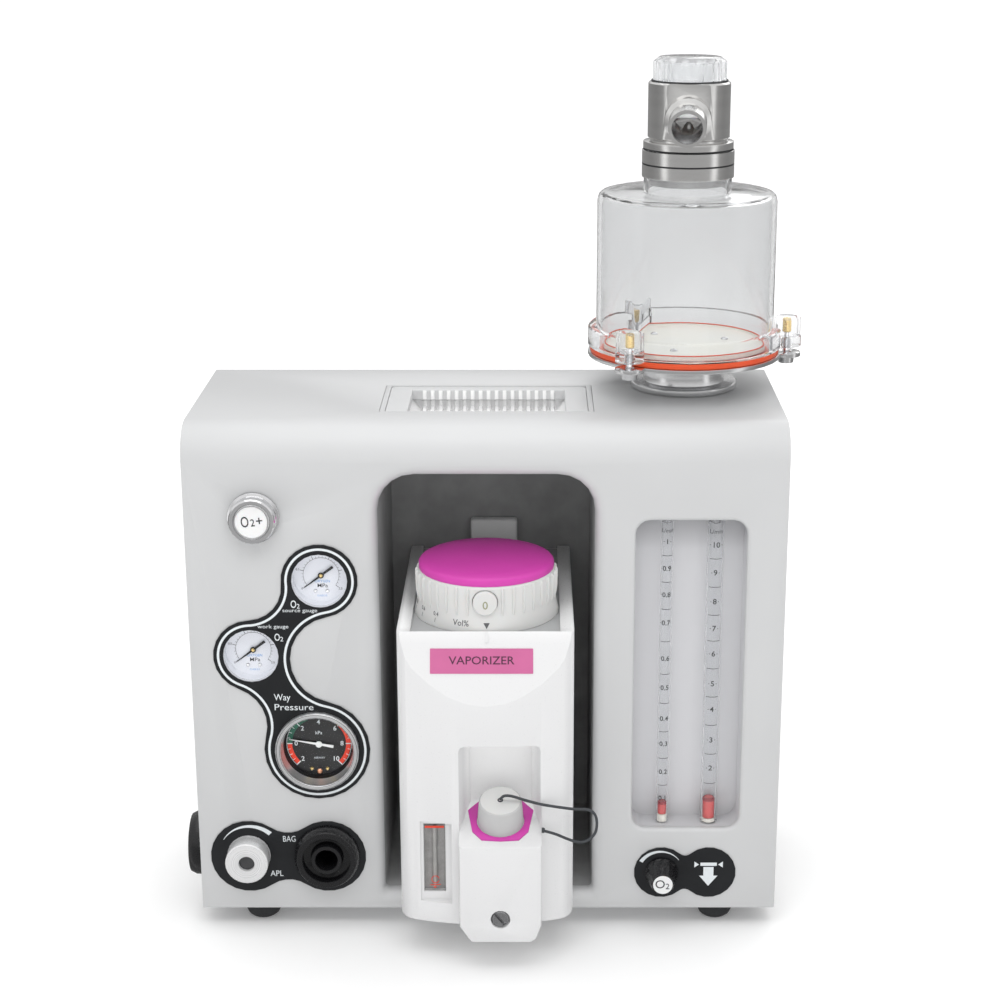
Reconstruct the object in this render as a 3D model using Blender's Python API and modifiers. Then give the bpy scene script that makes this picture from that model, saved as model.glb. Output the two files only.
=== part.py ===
"""Desktop veterinary anesthesia machine, built as separate named sub-parts.

Units are metres and +Z is up. The front panel faces -Y. Every sub-part is placed in the case's own
frame, an empty called case_frame: x from the middle of the case, y back from the front panel and
z up from the underside of the case, which stands on four rubber feet.
"""
import math

import bmesh
import bpy
from mathutils import Matrix, Vector

# Driving dimensions of the case
CASE_WIDTH = 0.420
CASE_DEPTH = 0.175
CASE_HEIGHT = 0.365
BEND_RADIUS = 0.024
SHEET = 0.002
GAP = 0.0003
FOOT_HEIGHT = 0.015
FOOT_X = 0.168
FOOT_INSET = 0.022
HALF_WIDTH = CASE_WIDTH / 2

# Vaporizer bay and the vaporizer in it
BAY_HALF = 0.076
BAY_FLOOR = 0.013
BAY_TOP = 0.330
BAY_RADIUS = 0.026
BAY_DEPTH = 0.150
BAY_FOLD = 0.008
LIP_DEPTH = 0.010
VAPORIZER_FRONT = -0.060
VAPORIZER_BACK = 0.146
VAPORIZER_BOTTOM = 0.018
VAPORIZER_TOP = 0.233
VAPORIZER_HALF = 0.061
FRONT_RADIUS = 0.164
CORNER_RADIUS = 0.015
DECK_Z = 0.2305
CHEEK_INNER = 0.0515
DIAL_Y = 0.0075
DIAL_BASE = 0.0508
DIAL_TOP = 0.0475
DIAL_HEIGHT = 0.0325
BUTTON_TRAVEL = 0.003
FILLER_X = 0.010
FILLER_HALF = 0.0287
FILLER_FRONT = -0.074
SHELF_FRONT_Z = 0.085
SHELF_BACK_Y = -0.030
SHELF_BACK_Z = 0.100
SHELF_ANGLE = math.atan((SHELF_BACK_Z - SHELF_FRONT_Z) / (SHELF_BACK_Y - FILLER_FRONT))
CAP_Y = -0.050
CAP_RADIUS = 0.016
CAP_HEIGHT = 0.0205
DRAIN_Z = 0.030

# Gauges: centre x, centre z
SOURCE_GAUGE = (-0.117, 0.254)
WORK_GAUGE = (-0.167, 0.198)
AIRWAY_GAUGE = (-0.122, 0.126)
SMALL_CAN = 0.0203
SMALL_FACE_DEPTH = 0.0135
AIRWAY_CAN = 0.0278
OVERLAY = 0.0007

# Ports, valves and the flush button: centre x, centre z
FLUSH = (-0.161, 0.301)
APL = (-0.1742, 0.0435)
BAG = (-0.117, 0.0435)
VALVE_FILM_DROP = 0.0015  # the film's lobes sit this far below the two valves
FLOW_VALVE = (0.1265, 0.029)
FLOW_SIGN = (0.161, 0.029)
SIDE_PORT_Y = 0.033
SIDE_PORT_Z = 0.037
PORT_REACH = 0.0110
OXYGEN_INLET = (0.150, 0.060)

# Flow meter window
WINDOW_X = (0.1045, 0.182)
WINDOW_Z = (0.0635, 0.298)
WINDOW_RADIUS = 0.010
WINDOW_DEPTH = 0.0245
WINDOW_FOLD = 0.003
TUBE_Y = 0.0135
LOW_TUBE_X = 0.127
HIGH_TUBE_X = 0.161

# Handle in the top panel
HANDLE_Y = (0.046, 0.121)
HANDLE_HALF = 0.072
GRIP_HALF = 0.056
HANDLE_THICKNESS = 0.008
RIB_COUNT = 17

# Absorber on the top panel
ABSORBER_X = 0.1443
ABSORBER_Y = 0.125
BASE_Z = 0.3890
GASKET_Z = 0.3923
CANISTER_Z = 0.3966
CANISTER_RADIUS = 0.065
FLANGE_RADIUS = 0.071
FLANGE_TOP = 0.4105
SHOULDER_Z = 0.509
COLLAR_Z = 0.540
VALVE_TOP = 0.587
VALVE_FLAT = 0.0252
CAP_TOP = 0.604
CLAMP_CIRCLE = 0.075
CLAMP_RADIUS = 0.010
CLAMP_ANGLES = (355, 235, 115)
EAR_RADIUS = 0.0105
EAR_TOP = 0.4038

# The whole object's box is centred on the origin
LEFT_REACH = -HALF_WIDTH - PORT_REACH - GAP
RIGHT_REACH = ABSORBER_X + CLAMP_CIRCLE * math.cos(math.radians(CLAMP_ANGLES[0])) + EAR_RADIUS
BACK_REACH = ABSORBER_Y + CLAMP_CIRCLE * math.sin(math.radians(CLAMP_ANGLES[2])) + EAR_RADIUS
CASE_CENTRE_X = -(LEFT_REACH + RIGHT_REACH) / 2
CASE_FRONT_Y = -(FILLER_FRONT + BACK_REACH) / 2

# Rotations that turn a part's own +Z to the way it faces
TO_FRONT = (math.pi / 2, 0, 0)
TO_LEFT = (math.pi / 2, 0, -math.pi / 2)
TO_BACK = (math.pi / 2, 0, math.pi)
ALONG_X = (math.pi / 2, 0, math.pi / 2)

# Finishes: colour, roughness, metallic
FINISHES = {
    "silver_paint": ((0.62, 0.63, 0.63), 0.38, 0.30),
    "dark_paint": ((0.06, 0.065, 0.07), 0.70, 0.0),
    "bare_sheet": ((0.55, 0.56, 0.57), 0.40, 0.90),
    "overlay_film": ((0.03, 0.032, 0.036), 0.40, 0.0),
    "white_enamel": ((0.85, 0.85, 0.85), 0.30, 0.0),
    "white_plastic": ((0.83, 0.83, 0.83), 0.35, 0.0),
    "dial_plastic": ((0.74, 0.74, 0.72), 0.40, 0.0),
    "magenta_plastic": ((0.55, 0.05, 0.32), 0.30, 0.0),
    "black_plastic": ((0.02, 0.02, 0.02), 0.22, 0.0),
    "black_rubber": ((0.02, 0.02, 0.02), 0.80, 0.0),
    "red_float": ((0.60, 0.03, 0.05), 0.35, 0.0),
    "orange_silicone": ((0.80, 0.10, 0.03), 0.50, 0.0),
    "turned_aluminium": ((0.72, 0.72, 0.72), 0.25, 1.0),
    "chrome": ((0.80, 0.80, 0.80), 0.12, 1.0),
    "brass": ((0.70, 0.52, 0.22), 0.30, 1.0),
    "gauge_white": ((0.80, 0.82, 0.85), 0.60, 0.0),
    "clear_acrylic": ((0.90, 0.92, 0.94), 0.05, 0.0),
}


def finish(name):
    """Return the material of a finish, made on first use."""
    if name in bpy.data.materials:
        return bpy.data.materials[name]
    colour, roughness, metallic = FINISHES[name]
    made = bpy.data.materials.new(name)
    made.use_nodes = True
    shader = made.node_tree.nodes["Principled BSDF"]
    shader.inputs["Base Color"].default_value = (*colour, 1)
    shader.inputs["Roughness"].default_value = roughness
    shader.inputs["Metallic"].default_value = metallic
    made.diffuse_color = (*colour, 1)
    return made


def clear_scene():
    """Remove every object and add the two collections and the case's frame."""
    for found in list(bpy.data.objects):
        bpy.data.objects.remove(found, do_unlink=True)
    parts = bpy.data.collections.new("anesthesia_machine")
    cutters = bpy.data.collections.new("cutters")
    bpy.context.scene.collection.children.link(parts)
    bpy.context.scene.collection.children.link(cutters)
    frame = bpy.data.objects.new("case_frame", None)
    frame.location = (CASE_CENTRE_X, CASE_FRONT_Y, FOOT_HEIGHT)
    parts.objects.link(frame)
    return parts, cutters, frame


PARTS, CUTTERS, FRAME = clear_scene()


def place(name, data, location, rotation, surface):
    """Put a new object in the case's frame: a sub-part with a finish, or a cutter without one."""
    made = bpy.data.objects.new(name, data)
    made.parent = FRAME
    made.location = location
    made.rotation_euler = rotation
    if surface:
        PARTS.objects.link(made)
        data.materials.append(finish(surface))
    else:
        CUTTERS.objects.link(made)
        made.hide_render = True
        made.display_type = "WIRE"
    return made


def arc(centre, radius, start, end, steps):
    """Points of an arc in degrees, both ends included."""
    turns = [math.radians(start + (end - start) * k / steps) for k in range(steps + 1)]
    return [(centre[0] + radius * math.cos(t), centre[1] + radius * math.sin(t)) for t in turns]


def circle(centre, radius, steps):
    """Points of a whole circle."""
    return arc(centre, radius, 0, 360, steps)[:-1]


def rounded_rect(x_range, y_range, radii, steps, grow=0.0):
    """Rounded rectangle, its corner radii from lower left counter-clockwise, grown outward."""
    corners = [(x_range[0], y_range[0], 180), (x_range[1], y_range[0], 270),
               (x_range[1], y_range[1], 0), (x_range[0], y_range[1], 90)]
    points = []
    for (x, y, start), radius in zip(corners, radii):
        inward_x = radius if x == x_range[0] else -radius
        inward_y = radius if y == y_range[0] else -radius
        points += arc((x + inward_x, y + inward_y), radius + grow, start, start + 90, steps)
    return points


def angle_to(origin, target):
    """Direction of one point from another, in degrees."""
    return math.degrees(math.atan2(target[1] - origin[1], target[0] - origin[0]))


def lobed_outline(lobes, fillets, step):
    """Outline of round lobes, counter-clockwise, joined by hollow arcs on their outer side."""
    hollows = []
    for number, fillet in enumerate(fillets):
        x0, y0, r0 = lobes[number]
        x1, y1, r1 = lobes[(number + 1) % len(lobes)]
        span = math.hypot(x1 - x0, y1 - y0)
        along = ((r0 + fillet) ** 2 - (r1 + fillet) ** 2 + span ** 2) / (2 * span)
        aside = math.sqrt((r0 + fillet) ** 2 - along ** 2)
        ux, uy = (x1 - x0) / span, (y1 - y0) / span
        hollows.append((x0 + ux * along + uy * aside, y0 + uy * along - ux * aside))
    points = []
    for number, (x, y, radius) in enumerate(lobes):
        start = angle_to((x, y), hollows[number - 1])
        end = angle_to((x, y), hollows[number])
        end += 360 if end < start else 0
        points += arc((x, y), radius, start, end, max(2, round((end - start) / step)))
        after = lobes[(number + 1) % len(lobes)]
        start = angle_to(hollows[number], (x, y))
        end = angle_to(hollows[number], after)
        end -= 360 if end > start else 0
        fillet = fillets[number]
        points += arc(hollows[number], fillet, start, end, max(2, round((start - end) / step)))[1:-1]
    return points


def plate(name, outlines, thickness, location, rotation=(0, 0, 0), surface=None):
    """Flat plate from closed outlines, holes included, its mid-plane at the location."""
    data = bpy.data.curves.new(name, "CURVE")
    data.dimensions = "2D"
    data.fill_mode = "BOTH"
    data.extrude = thickness / 2
    for outline in outlines:
        spline = data.splines.new("POLY")
        spline.points.add(len(outline) - 1)
        for point, (x, y) in zip(spline.points, outline):
            point.co = (x, y, 0, 1)
        spline.use_cyclic_u = True
    curve = place(name + "_curve", data, location, rotation, None)
    bpy.context.view_layer.update()
    evaluated = curve.evaluated_get(bpy.context.evaluated_depsgraph_get())
    mesh = bpy.data.meshes.new_from_object(evaluated)
    mesh.name = name
    mesh.materials.clear()
    work = bmesh.new()
    work.from_mesh(mesh)
    bmesh.ops.remove_doubles(work, verts=work.verts, dist=1e-6)
    bmesh.ops.recalc_face_normals(work, faces=work.faces)
    work.to_mesh(mesh)
    work.free()
    bpy.data.objects.remove(curve, do_unlink=True)
    return place(name, mesh, location, rotation, surface)


def turned(name, profile, location, rotation=(0, 0, 0), steps=32, surface=None, closed=False):
    """Turned piece: a profile of (radius, height) points, outer side running down, and a Screw."""
    mesh = bpy.data.meshes.new(name)
    vertices = [(radius, 0, height) for radius, height in profile]
    edges = [(k, k + 1) for k in range(len(profile) - 1)]
    if closed:
        edges.append((len(profile) - 1, 0))
    mesh.from_pydata(vertices, edges, [])
    made = place(name, mesh, location, rotation, surface)
    screw = made.modifiers.new("turn", "SCREW")
    screw.axis = "Z"
    screw.steps = steps
    screw.render_steps = steps
    screw.use_merge_vertices = True
    screw.merge_threshold = 0.00005
    screw.use_smooth_shade = True
    return made


def loft(name, rings, location=(0, 0, 0), rotation=(0, 0, 0), surface=None):
    """Closed solid through rings of matching points, the first and last ring capped."""
    work = bmesh.new()
    rows = [[work.verts.new(point) for point in ring] for ring in rings]
    for lower, upper in zip(rows, rows[1:]):
        count = len(lower)
        for k in range(count):
            after = (k + 1) % count
            work.faces.new((lower[k], lower[after], upper[after], upper[k]))
    work.faces.new(rows[0][::-1])
    work.faces.new(rows[-1])
    bmesh.ops.recalc_face_normals(work, faces=work.faces)
    mesh = bpy.data.meshes.new(name)
    work.to_mesh(mesh)
    work.free()
    return place(name, mesh, location, rotation, surface)


def box(name, x_range, y_range, z_range, surface=None, rotation=(0, 0, 0)):
    """Box between three ranges, made from a primitive cube."""
    work = bmesh.new()
    bmesh.ops.create_cube(work, size=1)
    size = [high - low for low, high in (x_range, y_range, z_range)]
    bmesh.ops.scale(work, vec=size, verts=work.verts)
    mesh = bpy.data.meshes.new(name)
    work.to_mesh(mesh)
    work.free()
    middle = [(low + high) / 2 for low, high in (x_range, y_range, z_range)]
    return place(name, mesh, middle, rotation, surface)


def soften(target, width, segments=2, limit=35):
    """Round the edges sharper than the limit."""
    bevel = target.modifiers.new("soft_edges", "BEVEL")
    bevel.width = width
    bevel.segments = segments
    bevel.limit_method = "ANGLE"
    bevel.angle_limit = math.radians(limit)


def combine(target, other, operation):
    """Cut another solid out of the target, or join it on."""
    boolean = target.modifiers.new(operation.lower() + "_" + other.name, "BOOLEAN")
    boolean.operation = operation
    boolean.solver = "EXACT"
    boolean.object = other


def cut(target, *cutters):
    """Cut each cutter out of the target."""
    for cutter in cutters:
        combine(target, cutter, "DIFFERENCE")


def join(target, *others):
    """Join each solid to the target."""
    for other in others:
        combine(target, other, "UNION")


def drill(target, name, radius, location, rotation, length, steps=18):
    """Drill a round hole through or into the target, along the rotation's own Z.

    The bit has flat sides, so its corners stand out far enough to keep the whole radius clear.
    """
    half = length / 2
    corner = radius / math.cos(math.pi / steps)
    bit = turned(name, [(0, half), (corner, half), (corner, -half), (0, -half)], location, rotation, steps)
    cut(target, bit)


def wavy_ring(radius, depth, waves, height, points):
    """Ring of points whose radius swings in and out."""
    ring = []
    for k in range(points):
        turn = 2 * math.pi * k / points
        swung = radius + depth * math.cos(waves * turn)
        ring.append((swung * math.cos(turn), swung * math.sin(turn), height))
    return ring


def upright(outline, y):
    """Lift an (x, z) outline into the plane at y."""
    return [(x, y, z) for x, z in outline]


def folded_lip(cover, name, x_range, z_range, radii, steps, fold):
    """Rounded opening of the front panel, with its edge folded back by a radius."""
    back = fold + 0.002
    block = plate(name + "_block", [rounded_rect(x_range, z_range, radii, steps, fold + 0.0015)],
                  back - 0.001, (0, (back + 0.001) / 2, 0), TO_FRONT)
    join(cover, block)
    rings = [upright(rounded_rect(x_range, z_range, radii, steps, fold), -0.002)]
    for k in range(5):
        turn = math.radians(22.5 * k)
        inward = fold - fold * math.sin(turn)
        depth = fold - fold * math.cos(turn)
        rings.append(upright(rounded_rect(x_range, z_range, radii, steps, inward), depth))
    rings.append(upright(rounded_rect(x_range, z_range, radii, steps), back + 0.002))
    cut(cover, loft(name + "_flare", rings))


def front_top_cover():
    """Bent sheet that makes the front and the top, with every opening."""
    back = CASE_DEPTH
    inner = BEND_RADIUS - SHEET
    centre = (BEND_RADIUS, CASE_HEIGHT - BEND_RADIUS)
    outline = [(0, 0)] + arc(centre, BEND_RADIUS, 180, 90, 6) + [(back, CASE_HEIGHT)]
    outline += [(back, CASE_HEIGHT - SHEET)] + arc(centre, inner, 90, 180, 6) + [(SHEET, 0)]
    cover = plate("front_top_cover", [outline], CASE_WIDTH, (0, 0, 0), ALONG_X, "silver_paint")
    soften(cover, 0.0009)
    folded_lip(cover, "bay", (-BAY_HALF, BAY_HALF), (BAY_FLOOR, BAY_TOP),
               (0.003, 0.003, BAY_RADIUS, BAY_RADIUS), 5, BAY_FOLD)
    folded_lip(cover, "window", WINDOW_X, WINDOW_Z, (WINDOW_RADIUS,) * 4, 4, WINDOW_FOLD)
    holes = [("source_hole", SOURCE_GAUGE, 0.0206), ("work_hole", WORK_GAUGE, 0.0206),
             ("airway_hole", AIRWAY_GAUGE, 0.0281), ("flush_hole", FLUSH, 0.0103),
             ("apl_hole", APL, 0.0123), ("bag_hole", BAG, 0.0143), ("flow_hole", FLOW_VALVE, 0.0053)]
    for name, (x, z), radius in holes:
        drill(cover, name, radius, (x, 0, z), TO_FRONT, 0.02)
    tray_gap = (HANDLE_Y[0] - 0.0020, HANDLE_Y[1] + 0.0020)
    cut(cover, box("handle_opening", (-0.076, 0.076), tray_gap, (CASE_HEIGHT - 0.01, CASE_HEIGHT + 0.01)))
    drill(cover, "absorber_hole", 0.014, (ABSORBER_X, ABSORBER_Y, CASE_HEIGHT), (0, 0, 0), 0.02)


def case_panels():
    """Base plate, back panel and the two side panels inside the bent cover."""
    inside = HALF_WIDTH - SHEET - GAP
    box("base_plate", (-inside, inside), (SHEET + GAP, CASE_DEPTH - SHEET - GAP), (0, SHEET), "bare_sheet")
    back = box("back_panel", (-HALF_WIDTH, HALF_WIDTH), (CASE_DEPTH - SHEET, CASE_DEPTH),
               (0, CASE_HEIGHT - SHEET - GAP), "silver_paint")
    x, z = OXYGEN_INLET
    drill(back, "inlet_hole", 0.0083, (x, CASE_DEPTH, z), TO_BACK, 0.02)
    top = CASE_HEIGHT - SHEET - GAP
    radius = BEND_RADIUS - SHEET - GAP
    front = SHEET + GAP
    rear = CASE_DEPTH - SHEET - GAP
    outline = [(rear, 0), (rear, top)]
    outline += arc((front + radius, top - radius), radius, 90, 180, 6) + [(front, 0)]
    middle = HALF_WIDTH - SHEET / 2
    plate("side_panel_right", [outline], SHEET, (middle, 0, 0), ALONG_X, "silver_paint")
    left = plate("side_panel_left", [outline], SHEET, (-middle, 0, 0), ALONG_X, "silver_paint")
    drill(left, "side_port_hole", 0.0143, (-middle, SIDE_PORT_Y, SIDE_PORT_Z), TO_LEFT, 0.02)


def vaporizer_bay():
    """Open-fronted box that holds the vaporizer."""
    wall = 0.0015
    front = LIP_DEPTH + GAP
    radii = (0.003, 0.003, BAY_RADIUS, BAY_RADIUS)
    span = (-BAY_HALF, BAY_HALF), (BAY_FLOOR, BAY_TOP)
    depth = BAY_DEPTH + wall - front
    bay = plate("vaporizer_bay", [rounded_rect(*span, radii, 5, wall)], depth,
                (0, front + depth / 2, 0), TO_FRONT, "dark_paint")
    cut(bay, plate("bay_hollow", [rounded_rect(*span, radii, 5)], BAY_DEPTH,
                   (0, BAY_DEPTH / 2, 0), TO_FRONT))


def feet():
    """Four domed rubber feet."""
    profile = [(0, -GAP), (0.014, -GAP), (0.014, -0.004), (0.0132, -0.009), (0.0115, -0.013),
               (0.009, -FOOT_HEIGHT), (0, -FOOT_HEIGHT)]
    for end, y in (("front", FOOT_INSET), ("rear", CASE_DEPTH - FOOT_INSET)):
        for side, x in (("left", -FOOT_X), ("right", FOOT_X)):
            turned(f"foot_{end}_{side}", profile, (x, y, 0), steps=20, surface="black_rubber")


def handle():
    """Tray let into the top, and the lift-up handle hinged at its front edge."""
    top = CASE_HEIGHT
    seat = top - HANDLE_THICKNESS - GAP
    rim_x = 0.076 - GAP
    rim_y = (HANDLE_Y[0] - 0.0020 + GAP, HANDLE_Y[1] + 0.0020 - GAP)
    floor = top - 0.0165
    tray = box("handle_tray", (-rim_x, rim_x), rim_y, (top - 0.020, top), "silver_paint")
    cut(tray, box("tray_seat", (-HANDLE_HALF, HANDLE_HALF), HANDLE_Y, (seat, top + 0.01)))
    slope = 0.006
    pitch = 2 * (GRIP_HALF - slope) / RIB_COUNT
    outline = [(-GRIP_HALF, top + 0.005), (-GRIP_HALF, seat - GAP), (-GRIP_HALF + slope, floor)]
    for k in range(RIB_COUNT):
        middle = -GRIP_HALF + slope + pitch * (k + 0.5)
        outline += [(middle - 0.0018, floor), (middle - 0.0012, floor + 0.0028),
                    (middle + 0.0012, floor + 0.0028), (middle + 0.0018, floor)]
    outline += [(GRIP_HALF - slope, floor), (GRIP_HALF, seat - GAP), (GRIP_HALF, top + 0.005)]
    well = (HANDLE_Y[0] + 0.003, HANDLE_Y[1] - 0.004)
    cut(tray, loft("ribbed_well", [upright(outline, y) for y in well]))
    pin_y, pin_z = HANDLE_Y[0] + 0.0045, top - 0.0042
    for side in (-1, 1):
        drill(tray, f"pin_hole_{side}", 0.0018, (side * (HANDLE_HALF + 0.0005), pin_y, pin_z), ALONG_X,
              0.005, 16)
    reach = HANDLE_HALF - GAP
    grip = HANDLE_Y[1] - GAP
    rear = arc((reach - 0.004, grip - 0.004 - pin_y), 0.004, 0, 90, 3)
    outline = [(-x, y) for x, y in rear[::-1]]
    outline += [(-reach, -0.0038), (-GRIP_HALF, -0.0038), (-GRIP_HALF, grip - 0.010 - pin_y)]
    outline += [(GRIP_HALF, grip - 0.010 - pin_y), (GRIP_HALF, -0.0038), (reach, -0.0038)] + rear
    bail = plate("carrying_handle", [outline], HANDLE_THICKNESS - 0.0002, (0, pin_y, pin_z), (0, 0, 0),
                 "silver_paint")
    soften(bail, 0.0008, 1)
    nose = HANDLE_THICKNESS / 2 - 0.0001
    for side in (-1, 1):
        middle = side * (reach + GRIP_HALF) / 2
        corner = box(f"nose_corner_{side}", (middle - 0.010, middle + 0.010), (pin_y - 0.006, pin_y),
                     (pin_z - 0.006, pin_z + 0.006))
        cut(corner, turned(f"nose_round_{side}", [(0, 0.011), (nose, 0.011), (nose, -0.011), (0, -0.011)],
                           (middle, pin_y, pin_z), ALONG_X, 16))
        cut(bail, corner)
        start, end = side * (reach - 0.003), side * (HANDLE_HALF + 0.0022)
        half = abs(end - start) / 2
        pin = turned(f"hinge_pin_{side}", [(0, half), (0.0014, half), (0.0014, -half), (0, -half)],
                     ((start + end) / 2, pin_y, pin_z), ALONG_X, 12)
        join(bail, pin)


def overlays():
    """Printed film plates on the front panel."""
    middle = -OVERLAY / 2 - GAP / 4
    lobes = [(*SOURCE_GAUGE, 0.027), (*WORK_GAUGE, 0.0267), (*AIRWAY_GAUGE, 0.038)]
    outlines = [lobed_outline(lobes, (0.0252, 0.030, 0.0328), 15)]
    outlines += [circle(SOURCE_GAUGE, 0.0196, 24), circle(WORK_GAUGE, 0.0196, 24)]
    outlines += [circle(AIRWAY_GAUGE, 0.0281, 28)]
    plate("gauge_overlay", outlines, OVERLAY, (0, middle, 0), TO_FRONT, "overlay_film")
    lobes = [(x, z - VALVE_FILM_DROP, 0.028) for x, z in (APL, BAG)]
    outlines = [lobed_outline(lobes, (0.0205, 0.0205), 15), circle(APL, 0.0123, 20), circle(BAG, 0.0143, 20)]
    plate("valve_overlay", outlines, OVERLAY, (0, middle, 0), TO_FRONT, "overlay_film")
    lobes = [(*FLOW_VALVE, 0.020), (*FLOW_SIGN, 0.020)]
    outlines = [lobed_outline(lobes, (0.0056, 0.0056), 18), circle(FLOW_VALVE, 0.0053, 16)]
    plate("flow_overlay", outlines, OVERLAY, (0, middle, 0), TO_FRONT, "overlay_film")


def needle(name, centre, depth, tip, tail, hub, points_to, surface):
    """Pointer with a round hub, turning about its own Z, which faces the front."""
    outline = [(tip, -0.0002), (tip, 0.0002)]
    outline += arc((0, 0), hub, 20, 160, 5)
    outline += [(-tail, hub * 0.45), (-tail, -hub * 0.45)]
    outline += arc((0, 0), hub, 200, 340, 5)
    made = plate(name, [outline], 0.0006, (centre[0], depth, centre[1]), TO_FRONT, surface)
    made.rotation_euler = (math.pi / 2, -math.radians(points_to), 0)
    return made


def small_gauge(name, centre):
    """Small pressure gauge: can, needle and lens."""
    x, z = centre
    wall = 0.0009
    face = -SMALL_FACE_DEPTH
    profile = [(0, face), (SMALL_CAN - wall, face), (SMALL_CAN - wall, -GAP), (SMALL_CAN, -GAP),
               (SMALL_CAN, -0.032), (0.006, -0.032), (0.006, -0.046), (0, -0.046)]
    turned(name + "_gauge_case", profile, (x, 0, z), TO_FRONT, 28, "gauge_white")
    needle(name + "_gauge_needle", centre, SMALL_FACE_DEPTH - 0.0016, 0.0155, 0.0105, 0.0022, 217,
           "black_plastic")
    lens = SMALL_CAN - wall - GAP
    turned(name + "_gauge_lens", [(0, -0.0012), (lens, -0.0012), (lens, -0.0022), (0, -0.0022)],
           (x, 0, z), TO_FRONT, 28, "clear_acrylic")


def airway_gauge():
    """Airway pressure gauge: can with its spun bezel, needle and lens."""
    x, z = AIRWAY_GAUGE
    profile = [(0, -0.0115), (0.0240, -0.0115), (0.0262, 0.0010), (0.0262, 0.0052), (0.0272, 0.0060),
               (0.0292, 0.0056), (0.0300, 0.0042), (0.0300, 0.0010), (AIRWAY_CAN, 0.0010),
               (AIRWAY_CAN, -0.034), (0.007, -0.034), (0.007, -0.048), (0, -0.048)]
    turned("airway_gauge_case", profile, (x, 0, z), TO_FRONT, 32, "chrome")
    needle("airway_gauge_needle", AIRWAY_GAUGE, 0.0096, 0.0215, 0.0105, 0.0024, 170, "white_plastic")
    lens = 0.0262 - GAP
    turned("airway_gauge_lens", [(0, 0.0040), (lens, 0.0040), (lens, 0.0028), (0, 0.0028)],
           (x, 0, z), TO_FRONT, 32, "clear_acrylic")


def flush_button():
    """Oxygen flush: fixed housing and the button that pushes in."""
    x, z = FLUSH
    outer, bore, back = 0.0163, 0.0128, -0.028
    profile = [(0, 0.0010), (bore, 0.0010), (bore, 0.0130), (outer - 0.001, 0.0130), (outer, 0.0118),
               (outer, 0.0040), (0.0182, 0.0034), (0.0182, GAP), (0.010, GAP), (0.010, back), (0, back)]
    turned("flush_button_housing", profile, (x, 0, z), TO_FRONT, 24, "chrome")
    rim = bore - GAP
    profile = [(0, 0.0120), (0.0106, 0.0120), (0.0109, 0.0126), (rim, 0.0126), (rim, 0.0065), (0, 0.0065)]
    turned("flush_button", profile, (x, 0, z), TO_FRONT, 24, "white_plastic")


def apl_valve():
    """Pressure relief valve body with its thin collar, and the turned knob on its stem."""
    x, z = APL
    film = OVERLAY + GAP
    profile = [(0, 0.0115), (0.005, 0.0115), (0.005, film + 0.001), (0.0158, film + 0.001),
               (0.0158, film), (0.012, film), (0.012, -0.030), (0, -0.030)]
    turned("apl_valve_body", profile, (x, 0, z), TO_FRONT, 24, "turned_aluminium")
    base = film + 0.001 + GAP
    tip = base + 0.014
    profile = [(0, tip - 0.0035), (0.0058, tip - 0.0035), (0.0058, tip), (0.0149, tip), (0.0155, tip - 0.0006),
               (0.0155, base), (0.0054, base), (0.0054, 0.0120), (0, 0.0120)]
    turned("apl_knob", profile, (x, 0, z), TO_FRONT, 28, "turned_aluminium")


def round_port(name, location, rotation, base):
    """Black breathing port: collar, ring groove and a 22 mm cone with an open bore."""
    tip = PORT_REACH
    profile = [(0.0165 / 2, tip - 0.0005), (0.0220 / 2, tip - 0.0005), (0.0236 / 2, 0.0030),
               (0.0350 / 2, 0.0030), (0.0350 / 2, tip), (0.0430 / 2, tip), (0.0470 / 2, tip - 0.004),
               (0.0470 / 2, base), (0.0140, base), (0.0140, -0.018), (0.0165 / 2, -0.018)]
    turned(name, profile, location, rotation, 28, "black_plastic", closed=True)


def oxygen_inlet():
    """Threaded oxygen inlet with its collar, on the back panel."""
    x, z = OXYGEN_INLET
    turned("oxygen_inlet", [(0.0045, 0.018), (0.0070, 0.018), (0.0075, 0.017), (0.0075, 0.006),
                            (0.0120, 0.006), (0.0120, GAP), (0.0080, GAP), (0.0080, -0.014),
                            (0.0045, -0.014)],
           (x, CASE_DEPTH, z), TO_BACK, 24, "brass", closed=True)


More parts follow.
